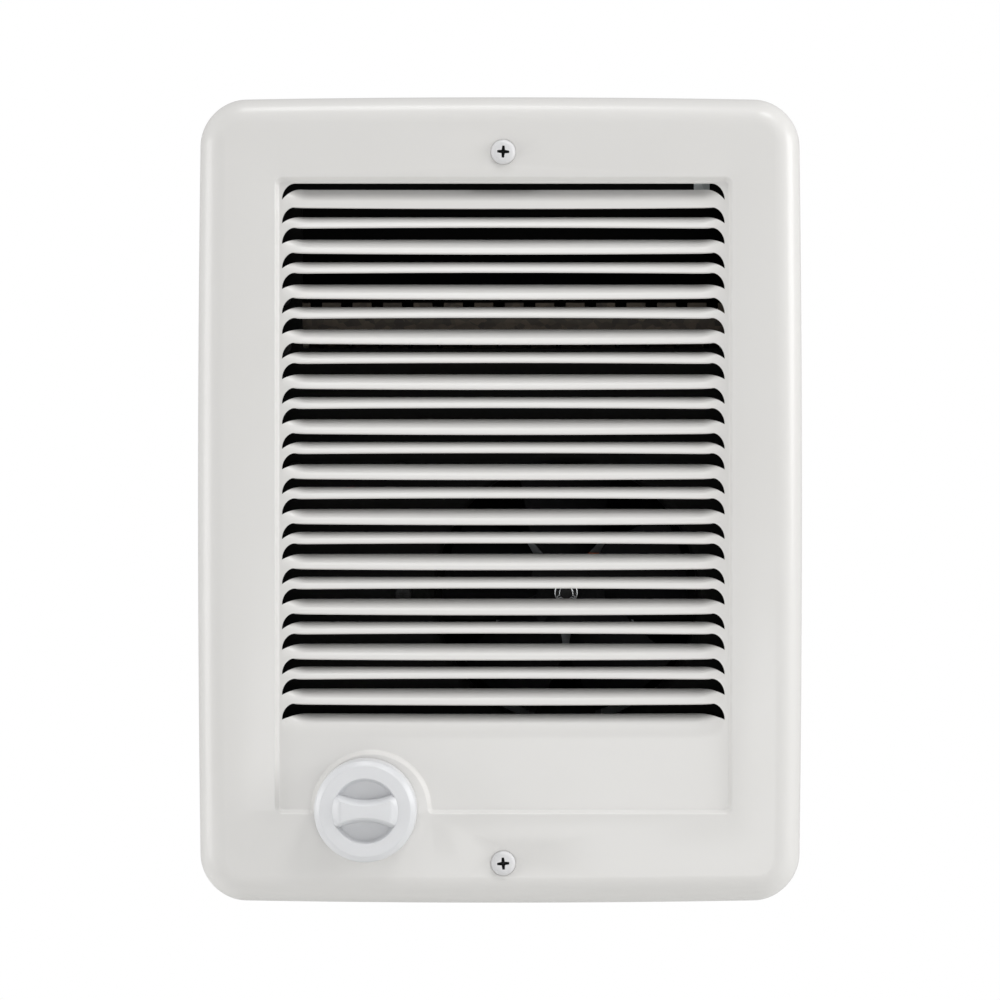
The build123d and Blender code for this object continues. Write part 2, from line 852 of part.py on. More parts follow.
with BuildPart() as stator_core:
    with BuildSketch(at_y(motor_back)):
        with BuildLine():
            l0 = fan_x - stator_half
            l1 = fan_x + stator_half
            FilletPolyline(
                (l0, fan_z + stator_up),
                (l1, fan_z + stator_up),
                (l1, fan_z - stator_down),
                (l0, fan_z - stator_down),
                radius=stator_corner,
                close=True,
            )
        make_face()
        with Locations((fan_x, fan_z + (window_top + window_low) / 2)):
            Rectangle(2 * window_half, window_top - window_low, mode=Mode.SUBTRACT)
        with Locations((fan_x, fan_z)):
            Circle(bore_r, mode=Mode.SUBTRACT)
        for s in (-1, 1):
            for u in (shade_in + shade_t / 2, shade_out - shade_t / 2):
                with Locations((fan_x + s * u, fan_z + s * shade_v)):
                    Rectangle(shade_t + 2 * shade_gap, shade_t + 2 * shade_gap, mode=Mode.SUBTRACT)
        for x in bolt_us:
            with Locations((x, fan_z)):
                Circle(motor_bolt_r + slip, mode=Mode.SUBTRACT)
    extrude(amount=stack_t)
keep(stator_core, "stator_core")

with BuildPart() as shading_rings:
    for s in (-1, 1):
        ua = fan_x + s * shade_in
        ub = fan_x + s * shade_out
        za = fan_z + s * shade_v - shade_t / 2
        zb = za + shade_t
        xa, xb = min(ua, ub), max(ua, ub)
        ya = motor_front - shade_t - shade_stand
        yb = motor_back + shade_t + shade_stand
        box(xa, xb, ya, yb, za, zb)
        box(xa + shade_t, xb - shade_t, ya + shade_t, yb - shade_t, za - 1, zb + 1, Mode.SUBTRACT)
keep(shading_rings, "shading_rings")

limb_mid = fan_z - (stator_down - window_low) / 2
limb_half = (stator_down + window_low) / 2
mid_stack = (motor_front + motor_back) / 2
tube_v = limb_half + bobbin_gap + bobbin_wall
tube_y = stack_t / 2 + bobbin_gap + bobbin_wall


def ring_box(half_u, out_v, out_y, in_v, in_y):
    """A rectangular sleeve round the coil limb."""
    box(
        fan_x - half_u,
        fan_x + half_u,
        mid_stack - out_y,
        mid_stack + out_y,
        limb_mid - out_v,
        limb_mid + out_v,
    )
    box(
        fan_x - half_u - 1,
        fan_x + half_u + 1,
        mid_stack - in_y,
        mid_stack + in_y,
        limb_mid - in_v,
        limb_mid + in_v,
        Mode.SUBTRACT,
    )


with BuildPart() as coil_bobbin:
    for s in (-1, 1):
        x0 = fan_x + s * (bobbin_half - bobbin_flange_t)
        x1 = fan_x + s * bobbin_half
        box(
            min(x0, x1),
            max(x0, x1),
            mid_stack - bobbin_y,
            mid_stack + bobbin_y,
            limb_mid - bobbin_v,
            limb_mid + bobbin_v,
        )
    ring_box(bobbin_half, tube_v, tube_y, limb_half + bobbin_gap, stack_t / 2 + bobbin_gap)
keep(coil_bobbin, "coil_bobbin")

with BuildPart() as coil_winding:
    ring_box(
        bobbin_half - bobbin_flange_t,
        bobbin_v - wind_inset,
        bobbin_y - wind_inset,
        tube_v + bobbin_gap,
        tube_y + bobbin_gap,
    )
    fillet(
        coil_winding.edges().filter_by(Axis.X).filter_by(lambda e: abs(e.center().Y - mid_stack) > bobbin_y - 2),
        3.0,
    )
keep(coil_winding, "coil_winding")

tab_us = (fan_x - bobbin_half + bobbin_flange_t / 2, fan_x + bobbin_half - bobbin_flange_t / 2)
tab_top = limb_mid - bobbin_v
with BuildPart() as motor_terminals:
    for x in tab_us:
        box(
            x - tab_t / 2,
            x + tab_t / 2,
            mid_stack - blade_w / 2,
            mid_stack + blade_w / 2,
            tab_top - motor_tab_len,
            tab_top,
        )
keep(motor_terminals, "motor_terminals")

bearing_ys = {}
for name, plate_y, pad_y, boss_y, bear_y in (
    (
        "front",
        (strap_back, strap_back + bracket_t),
        (strap_back, motor_front),
        strap_back - 2.2,
        strap_back - 1.2,
    ),
    ("rear", (motor_back + motor_front - strap_back - bracket_t, motor_back + motor_front - strap_back),
     (motor_back, motor_back + motor_front - strap_back),
     motor_back + motor_front - strap_back + 2.2 - boss_len,
     motor_back + motor_front - strap_back + 1.2 - bearing_len),
):
    with BuildPart() as holder:
        box(
            fan_x - bracket_half,
            fan_x + bracket_half,
            *plate_y,
            fan_z - bracket_w / 2,
            fan_z + bracket_w / 2,
        )
        for s in (-1, 1):
            x0 = fan_x + s * (bracket_half - pad_w)
            x1 = fan_x + s * bracket_half
            box(min(x0, x1), max(x0, x1), *pad_y, fan_z - bracket_w / 2, fan_z + bracket_w / 2)
        rod(fan_x, fan_z, boss_wall_r, boss_y, boss_y + boss_len)
        rod(fan_x, fan_z, shaft_r + 1.0, boss_y - 1, boss_y + boss_len + 1, Mode.SUBTRACT)
        rod(fan_x, fan_z, bearing_r + slip, bear_y, bear_y + bearing_len, Mode.SUBTRACT)
        for x in bolt_us:
            rod(x, fan_z, motor_bolt_r + slip, pad_y[0] - 1, pad_y[1] + 1, Mode.SUBTRACT)
    keep(holder, f"bearing_bracket_{name}")
    with BuildPart() as bearing:
        rod(fan_x, fan_z, bearing_r, bear_y, bear_y + bearing_len)
        rod(fan_x, fan_z, shaft_r + run, bear_y - 1, bear_y + bearing_len + 1, Mode.SUBTRACT)
    keep(bearing, f"bearing_{name}")
    bearing_ys[name] = (bear_y, bear_y + bearing_len)

rear_plate = motor_back + motor_front - strap_back
with BuildPart() as motor_screws:
    for x in bolt_us:
        rod(x, fan_z, pan_r, strap_y - pan_h, strap_y)
        rod(x, fan_z, motor_bolt_r, strap_y, rear_plate + motor_nut_t + 1)
    fillet(motor_screws.faces().group_by(Axis.Y)[0].edges(), pan_h * 0.5)
    for x in bolt_us:
        box(
            x - 2.2,
            x + 2.2,
            strap_y - pan_h - 1,
            strap_y - pan_h + 0.9,
            fan_z - 0.4,
            fan_z + 0.4,
            Mode.SUBTRACT,
        )
keep(motor_screws, "motor_screws")
with BuildPart() as motor_nuts:
    for x in bolt_us:
        with BuildSketch(at_y(rear_plate + motor_nut_t)):
            with Locations((x, fan_z)):
                RegularPolygon(motor_nut_r, 6)
                Circle(motor_bolt_r + slip, mode=Mode.SUBTRACT)
        extrude(amount=motor_nut_t)
keep(motor_nuts, "motor_nuts")

with BuildPart() as rotor:
    rod(fan_x, fan_z, rotor_r, motor_front, motor_back)
    rod(fan_x, fan_z, ring_r, motor_front - ring_t, motor_back + ring_t)
    rod(fan_x, fan_z, shaft_r + slip, motor_front - 5, motor_back + 5, Mode.SUBTRACT)
keep(rotor, "rotor")
with BuildPart() as rotor_shaft:
    rod(fan_x, fan_z, shaft_r, shaft_front, shaft_back)
    chamfer(rotor_shaft.edges().filter_by(GeomType.CIRCLE), 0.4)
keep(rotor_shaft, "rotor_shaft")
with BuildPart() as thrust_washers:
    front_washer = bearing_ys["front"][1] + 1.0 + washer_gap
    rear_washer = bearing_ys["rear"][0] - 1.0 - washer_gap - washer_t
    for y in (front_washer, rear_washer):
        rod(fan_x, fan_z, washer_r, y, y + washer_t)
        rod(fan_x, fan_z, shaft_r + slip, y - 1, y + 2, Mode.SUBTRACT)
keep(thrust_washers, "thrust_washers")

# ======================================================= fan
with BuildPart() as fan_blades:
    rod(fan_x, fan_z, spider_r, fan_y - blade_t / 2, fan_y + blade_t / 2)
    for i in range(blade_n):
        angle = 90 + i * 360 / blade_n
        a = math.radians(angle)
        radial = Vector(math.cos(a), 0, math.sin(a))
        turn = Vector(0, 1, 0).rotate(Axis((0, 0, 0), tuple(radial)), blade_pitch)
        plane = Plane(origin=(fan_x, fan_y, fan_z), x_dir=tuple(radial), z_dir=tuple(turn))
        with BuildSketch(plane.offset(-blade_t / 2)):
            with BuildLine():
                half = blade_chord / 2
                r0 = spider_r * 0.7
                tip_r = math.sqrt(fan_r**2 - (half * math.cos(math.radians(blade_pitch))) ** 2)
                Line((r0, -5), (r0, 5))
                Line((r0, 5), (spider_r + 5, half * 0.75))
                Line((spider_r + 5, half * 0.75), (tip_r, half))
                ThreePointArc((tip_r, half), (fan_r - 0.5, 0), (tip_r, -half))
                Line((tip_r, -half), (spider_r + 5, -half * 0.75))
                Line((spider_r + 5, -half * 0.75), (r0, -5))
            make_face()
        extrude(amount=blade_t)
    rod(fan_x, fan_z, hub_r + slip, fan_y - 12, fan_y + 12, Mode.SUBTRACT)
keep(fan_blades, "fan_blades")
with BuildPart() as fan_hub:
    rod(fan_x, fan_z, hub_r, fan_y - hub_len / 2 + 2, fan_y + hub_len / 2)
    rod(fan_x, fan_z, hub_r + 2.2, fan_y + blade_t / 2, fan_y + blade_t / 2 + 1.6)
    rod(fan_x, fan_z, shaft_r + slip, fan_y - 12, fan_y + 12, Mode.SUBTRACT)
keep(fan_hub, "fan_hub")
clip_y = fan_y - hub_len / 2 + 2
with BuildPart() as fan_clip:
    rod(fan_x, fan_z, clip_r, clip_y - clip_t, clip_y)
    rod(fan_x, fan_z, shaft_r + slip, clip_y - 2, clip_y + 1, Mode.SUBTRACT)
    for i in range(3):
        with BuildSketch(at_y(clip_y + 0.1)):
            with Locations(Location((fan_x, fan_z), i * 120.0)):
                with Locations((0, 2.9)):
                    Rectangle(0.6, 1.4)
        extrude(amount=clip_t + 0.2, mode=Mode.SUBTRACT)
keep(fan_clip, "fan_clip")

# ======================================================= thermostat
case_x0 = stat_x - case_half
case_x1 = stat_x + case_half
case_back = deck_back + case_d
with BuildPart() as thermostat_case:
    box(case_x0, case_x1, deck_back, case_back, case_low, case_top)
    fillet(thermostat_case.edges().filter_by(Axis.Y), 2.0)
    box(
        case_x0 + case_wall,
        case_x1 - case_wall,
        deck_back + case_wall,
        case_back + 1,
        case_low + case_wall,
        case_top - case_wall,
        Mode.SUBTRACT,
    )
    rod(stat_x, stat_z, bushing_r + slip, deck_back - 1, deck_back + case_wall + 1, Mode.SUBTRACT)
    for x in stat_tab_xs:
        box(
            x - blade_w / 2,
            x + blade_w / 2,
            stat_tab_y,
            stat_tab_y + tab_t,
            case_top - case_wall - 1,
            case_top + 1,
            Mode.SUBTRACT,
        )
keep(thermostat_case, "thermostat_case")
with BuildPart() as thermostat_cover:
    box(case_x0, case_x1, case_back, case_back + cover_t, case_low, case_top)
    fillet(thermostat_cover.edges().filter_by(Axis.Y), 2.0)
keep(thermostat_cover, "thermostat_cover")
with BuildPart() as thermostat_bushing:
    rod(stat_x, stat_z, bushing_r, bushing_front, deck_back + case_wall)
    rod(stat_x, stat_z, bushing_flange_r, deck_back + case_wall, deck_back + case_wall + bushing_flange_t)
    rod(stat_x, stat_z, spindle_r + run, bushing_front - 1, deck_back + case_wall + 3, Mode.SUBTRACT)
keep(thermostat_bushing, "thermostat_bushing")
with BuildPart() as thermostat_nut:
    with BuildSketch(at_y(deck_y)):
        with Locations((stat_x, stat_z)):
            RegularPolygon(nut_af / 2, 6, major_radius=False)
            Circle(bushing_r + slip, mode=Mode.SUBTRACT)
    extrude(amount=nut_thick)
keep(thermostat_nut, "thermostat_nut")
with BuildPart() as thermostat_spindle:
    rod(stat_x, stat_z, spindle_r, spindle_front, spindle_back)
    cam_y = deck_back + case_wall + bushing_flange_t + 0.5
    with BuildSketch(at_y(cam_y + cam_t)):
        with Locations((stat_x, stat_z)):
            Ellipse(cam_r, cam_r * 0.7)
    extrude(amount=cam_t)
    box(
        stat_x - 5,
        stat_x + 5,
        spindle_front - 1,
        flat_from,
        stat_z + spindle_r - flat_depth,
        stat_z + 5,
        Mode.SUBTRACT,
    )
    chamfer(thermostat_spindle.faces().sort_by(Axis.Y)[0].edges(), 0.3)
keep(thermostat_spindle, "thermostat_spindle")
strip_y = spindle_back + 2.0
with BuildPart() as thermostat_bimetal:
    box(
        stat_x - bimetal_w / 2,
        stat_x + bimetal_w / 2,
        strip_y,
        strip_y + bimetal_t,
        case_low + case_wall,
        case_top - case_wall - 6,
    )
    box(
        stat_x - bimetal_w / 2,
        stat_x + bimetal_w / 2,
        strip_y,
        case_back,
        case_low + case_wall,
        case_low + case_wall + 2,
    )
keep(thermostat_bimetal, "thermostat_bimetal")
with BuildPart() as thermostat_terminals:
    for x in stat_tab_xs:
        box(
            x - blade_w / 2,
            x + blade_w / 2,
            stat_tab_y,
            stat_tab_y + tab_t,
            case_top - case_wall - 3,
            case_top + 8,
        )
keep(thermostat_terminals, "thermostat_terminals")

# ---- knob: skirted moulding with a horizontal grip bar in a round recess
knob_front = knob_back - knob_h
face_y = knob_front + grip_proud
pocket_y = face_y + knob_pocket_deep
with BuildPart() as grip_bar:
    with BuildSketch(at_y(pocket_y)):
        with BuildLine():
            xa = stat_x - grip_reach
            xb = stat_x + grip_reach
            ThreePointArc((xa, stat_z + grip_end), (stat_x, stat_z + grip_mid), (xb, stat_z + grip_end))
            Line((xb, stat_z + grip_end), (xb, stat_z - grip_end))
            ThreePointArc((xb, stat_z - grip_end), (stat_x, stat_z - grip_mid), (xa, stat_z - grip_end))
            Line((xa, stat_z - grip_end), (xa, stat_z + grip_end))
        make_face()
    extrude(amount=knob_pocket_deep + grip_proud)
    ends = grip_bar.faces().sort_by(Axis.Y)[0].edges().filter_by(Axis.Z)
    chamfer(ends, length=grip_proud - 0.05, length2=grip_slope)
with BuildPart() as thermostat_knob:
    rod(stat_x, stat_z, knob_r, face_y, knob_back)
    chamfer(
        thermostat_knob.faces().sort_by(Axis.Y)[0].edges(),
        length=1.4,
        length2=knob_chamfer,
    )
    rod(stat_x, stat_z, knob_pocket_r, face_y - 1, pocket_y, Mode.SUBTRACT)
    add(grip_bar.part)
    # hollow back: a deep ring outside the recess and a shallow one behind it
    with BuildSketch(at_y(knob_back)):
        with Locations((stat_x, stat_z)):
            Circle(knob_r - knob_wall)
            Circle(knob_pocket_r + knob_wall, mode=Mode.SUBTRACT)
    extrude(amount=knob_h - grip_proud - knob_floor - knob_chamfer, mode=Mode.SUBTRACT)
    with BuildSketch(at_y(knob_back)):
        with Locations((stat_x, stat_z)):
            Circle(knob_pocket_r + knob_wall)
            Circle(knob_hub_r + knob_wall, mode=Mode.SUBTRACT)
    extrude(amount=knob_back - pocket_y - knob_floor, mode=Mode.SUBTRACT)
    rod(stat_x, stat_z, knob_hub_r, knob_back, knob_hub_back)
    rod(stat_x, stat_z, spindle_r + slip, spindle_front - 0.05, knob_hub_back + 1, Mode.SUBTRACT)
    flat_z = stat_z + spindle_r - flat_depth + slip
    box(stat_x - 3.0, stat_x + 3.0, spindle_front, knob_hub_back - 3.0, flat_z + 0.6, stat_z + 3.9)
    box(stat_x - 1.5, stat_x + 1.5, spindle_front, knob_hub_back, flat_z, flat_z + 0.7, Mode.SUBTRACT)
keep(thermostat_knob, "thermostat_knob")
with BuildPart() as knob_spring:
    box(stat_x - 1.4, stat_x + 1.4, spindle_front + 1, knob_hub_back - 1, flat_z, flat_z + 0.5)
keep(knob_spring, "knob_spring")

# ======================================================= high limit
with BuildPart() as limit_body:
    rod(limit_x, limit_z, limit_r, limit_front, limit_back)
    rod(limit_x, limit_z, limit_r - 2, limit_front - 1.2, limit_front)
    rod(limit_x, limit_z, button_r + run, limit_front - 3, limit_front + button_deep + 1.6, Mode.SUBTRACT)
    rod(limit_x, limit_z, button_collar_r + 0.2, limit_front, limit_front + button_deep + 1.6, Mode.SUBTRACT)
keep(limit_body, "limit_body")
with BuildPart() as limit_cap:
    rod(limit_x, limit_z, limit_cap_r, limit_back, limit_back + limit_cap_t)
    fillet(limit_cap.faces().sort_by(Axis.Y)[-1].edges(), 0.8)
keep(limit_cap, "limit_cap")
collar_y = limit_front + 0.35
with BuildPart() as limit_button:
    rod(limit_x, limit_z, button_r, button_front, collar_y + button_collar_t)
    fillet(limit_button.faces().sort_by(Axis.Y)[0].edges(), 0.5)
    rod(limit_x, limit_z, button_collar_r, collar_y, collar_y + button_collar_t)
keep(limit_button, "limit_button")
spring_y0 = collar_y + button_collar_t
spring_y1 = limit_front + button_deep + 1.6
with BuildPart() as limit_spring:
    with BuildLine() as coil:
        Helix(
            pitch=(spring_y1 - spring_y0 - spring_wire) / spring_turns,
            height=spring_y1 - spring_y0 - spring_wire,
            radius=spring_r,
            center=(limit_x, spring_y0 + spring_wire / 2, limit_z),
            direction=(0, 1, 0),
        )
    with BuildSketch(Plane(origin=coil.line @ 0, z_dir=coil.line % 0)):
        Circle(spring_wire / 2)
    sweep(path=coil.line)
keep(limit_spring, "limit_spring")
tab_y0 = limit_front - tab_t
with BuildPart() as limit_terminals:
    for s in (-1, 1):
        z0 = limit_z + s * limit_tab_in
        z1 = limit_z + s * limit_tab_out
        box(limit_x - blade_w / 2, limit_x + blade_w / 2, tab_y0, tab_y0 + tab_t, min(z0, z1), max(z0, z1))
keep(limit_terminals, "limit_terminals")
with BuildPart() as limit_bracket:
    z0 = limit_z - limit_plate_w / 2
    z1 = limit_z + limit_plate_w / 2
    y1 = limit_back
    x0 = limit_x - limit_leg
    x1 = limit_x + limit_leg
    box(x0, x1, y1 - side_t, y1, z0, z1)
    rod(limit_x, limit_z, limit_cap_r, y1 - side_t, y1)
    rod(limit_x, limit_z, limit_r + slip, y1 - 3, y1 + 3, Mode.SUBTRACT)
    box(x0, x0 + side_t, deck_back, y1, z0, z1)
    box(x1 - side_t, x1, deck_back, y1, z0, z1)
    box(x0 - limit_foot, x0, deck_back, deck_back + side_t, z0, z1)
    box(x1, x1 + limit_foot, deck_back, deck_back + side_t, z0, z1)
    for s in (-1, 1):
        rod(
            limit_x + s * (limit_leg + limit_foot / 2),
            limit_z,
            deck_screw_r + slip,
            deck_back - 1,
            deck_back + 3,
            Mode.SUBTRACT,
        )
keep(limit_bracket, "limit_bracket")
limit_spots = [(limit_x + s * (limit_leg + limit_foot / 2), limit_z) for s in (-1, 1)]
screw_set("limit_screws", limit_spots, deck_y, 5.0, -1)

# ======================================================= wiring
lap = receptacle_lap
grip_w = blade_w / 2 + slip
grip_t = tab_t / 2 + slip
stat_tip = case_top + 8
stat_y = stat_tab_y + tab_t / 2
limit_y = tab_y0 + tab_t / 2
flag_mid = flag_x - tab_t / 2
half_pitch = terminal_pitch / 2
upper_tip = stud_upper[1] - terminal_h + 3 - terminal_len
lower_tip = stud_lower[1] - terminal_h + 3 - terminal_len
motor_tip = tab_top - motor_tab_len
# blade tip (x, y, z), way the wire leaves, and whether the blade is wide along X
sockets = {
    "stat_line": (stat_tab_xs[0], stat_y, stat_tip, 1, True),
    "stat_load": (stat_tab_xs[1], stat_y, stat_tip, 1, True),
    "limit_in": (limit_x, limit_y, limit_z - limit_tab_out, -1, True),
    "limit_out": (limit_x, limit_y, limit_z + limit_tab_out, 1, True),
    "upper_a": (flag_mid, stud_upper[0] - half_pitch, upper_tip, -1, False),
    "upper_b": (flag_mid, stud_upper[0] + half_pitch, upper_tip, -1, False),
    "lower_a": (flag_mid, stud_lower[0] - half_pitch, lower_tip, -1, False),
    "lower_b": (flag_mid, stud_lower[0] + half_pitch, lower_tip, -1, False),
    "motor_a": (tab_us[0], mid_stack, motor_tip, -1, False),
    "motor_b": (tab_us[1], mid_stack, motor_tip, -1, False),
}
ends = {}
with BuildPart() as push_on_connectors:
    for key, (x, y, z, way, wide) in sockets.items():
        mouth = z - way * lap
        tail = mouth + way * receptacle_len
        dx, dy = (receptacle_w / 2, receptacle_t / 2) if wide else (receptacle_t / 2, receptacle_w / 2)
        gx, gy = (grip_w, grip_t) if wide else (grip_t, grip_w)
        box(x - dx, x + dx, y - dy, y + dy, min(mouth, tail), max(mouth, tail))
        deep = mouth + way * (lap + slip)
        over = mouth - way
        box(x - gx, x + gx, y - gy, y + gy, min(over, deep), max(over, deep), Mode.SUBTRACT)
        ends[key] = (x, y, tail)
keep(push_on_connectors, "push_on_connectors")


def drop(point, z):
    """The point moved straight up or down to height z."""
    return (point[0], point[1], z)


p = ends["stat_line"]
lead(
    "lead_line",
    [
        p,
        drop(p, line_run[0][1]),
        (line_run[0][0], p[1], line_run[0][1]),
        (line_run[0][0], p[1], line_z),
        (line_run[1][1], line_run[1][0], line_z),
        (line_run[2][1], line_run[2][0], line_z),
    ],
    bend_r,
)
p = ends["stat_load"]
q = ends["limit_in"]
lead("lead_thermostat_limit", [p, drop(p, load_turns[0]), drop(q, load_turns[1]), q], stat_bend_r)
p = ends["limit_out"]
q = ends["upper_a"]
lead(
    "lead_limit_element",
    [p, drop(p, limit_run[0]), (limit_run[1], q[1], limit_run[0]), drop(q, limit_run[0]), q],
    bend_r,
)
p = ends["upper_b"]
q = ends["motor_a"]
lead(
    "lead_motor_line",
    [
        p,
        drop(p, wall_run_z[0]),
        (p[0], wall_run_y, wall_run_z[1]),
        (p[0], wall_run_y, floor_mid_z),
        (q[0], wall_run_y, floor_mid_z),
        q,
    ],
    bend_r,
)
p = ends["lower_b"]
q = ends["motor_b"]
lead(
    "lead_motor_neutral",
    [
        p,
        drop(p, wall_run_z[0]),
        (*back_run, wall_run_z[1]),
        (*back_run, floor_low_z),
        (back_run_x, back_run[1], floor_low_z),
        drop(q, floor_low_z),
        q,
    ],
    bend_r,
)
p = ends["lower_a"]
lead(
    "lead_neutral",
    [
        p,
        drop(p, supply_run_z[0]),
        (*supply_run, supply_run_z[1]),
        (*supply_run, floor_top_z),
        *[(x, y, floor_top_z) for x, y in supply_end],
    ],
    bend_r,
)
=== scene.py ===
"""A recessed wall fan heater with a pressed white grille, dressed for close viewing.

The frame gives every piece its place. Shapes made here are drawn in millimetres, in
the same frame, and turned to metres when a piece is finished. +Z is up, the front
faces -Y and the wall surface is at Y = 0.
"""

import logging
import math
from dataclasses import dataclass
from enum import Enum
from typing import Any, Callable, Iterable, Optional, Sequence

import bmesh
import bpy
from mathutils import Matrix, Vector


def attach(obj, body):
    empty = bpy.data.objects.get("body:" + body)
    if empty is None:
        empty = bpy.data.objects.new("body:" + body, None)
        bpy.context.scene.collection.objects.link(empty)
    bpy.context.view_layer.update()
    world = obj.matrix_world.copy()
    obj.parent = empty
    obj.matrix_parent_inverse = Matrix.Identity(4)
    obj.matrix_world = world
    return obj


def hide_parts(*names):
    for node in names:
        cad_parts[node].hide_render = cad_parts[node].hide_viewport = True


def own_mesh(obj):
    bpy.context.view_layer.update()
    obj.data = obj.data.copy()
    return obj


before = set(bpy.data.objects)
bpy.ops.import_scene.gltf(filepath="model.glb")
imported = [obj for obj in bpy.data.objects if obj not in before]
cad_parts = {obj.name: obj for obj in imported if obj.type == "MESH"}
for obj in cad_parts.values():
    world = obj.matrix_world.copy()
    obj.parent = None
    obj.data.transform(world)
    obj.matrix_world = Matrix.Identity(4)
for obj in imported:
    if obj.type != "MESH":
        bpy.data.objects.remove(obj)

Shape = bmesh.types.BMesh
Point = tuple[float, float, float]
LOG = logging.getLogger("wall_heater")
MM = 0.001
FRONT = (0.0, -1.0, 0.0)
# Depths closer than this many millimetres count as the same.
LEVEL = 1e-3
# Sockets of a colour mix: its two colours, and its result.
MIX_A, MIX_B, MIX_OUT = 6, 7, 2
# A wave pattern turns by this many radians per unit of its scale.
WAVE_TURN = 20


# ---------------------------------------------------------------- finishes


def linear(code: str) -> tuple[float, float, float, float]:
    """Turns an sRGB hex colour into the linear colour that shaders take.

    Args:
        code: Six hex digits, such as "d8d6d2".

    Returns:
        Red, green, blue and an alpha of one.
    """
    parts = [int(code[i : i + 2], 16) / 255 for i in (0, 2, 4)]
    flat = [c / 12.92 if c <= 0.04045 else ((c + 0.055) / 1.055) ** 2.4 for c in parts]
    return (flat[0], flat[1], flat[2], 1.0)


def add_node(
    tree: bpy.types.NodeTree,
    kind: str,
    settings: Optional[dict[str, Any]] = None,
    values: Optional[dict[Any, Any]] = None,
    links: Optional[dict[Any, Any]] = None,
) -> bpy.types.Node:
    """Adds one node with its settings, its socket values and the links into it.

    Args:
        tree: The node tree to grow.
        kind: Blender's name for the node type.
        settings: Attributes of the node itself.
        values: Numbers or colours for its input sockets.
        links: Output sockets to join to its input sockets.

    Returns:
        The new node.
    """
    made = tree.nodes.new(kind)
    for key, value in (settings or {}).items():
        setattr(made, key, value)
    for key, value in (values or {}).items():
        made.inputs[key].default_value = value
    for key, source in (links or {}).items():
        tree.links.new(source, made.inputs[key])
    return made


class Grain(Enum):
    """The kind of relief and mottling that a finish has."""

    SPECKLE = "speckle"
    BRUSHED = "brushed"
    SPANGLE = "spangle"
    LAYERS = "layers"


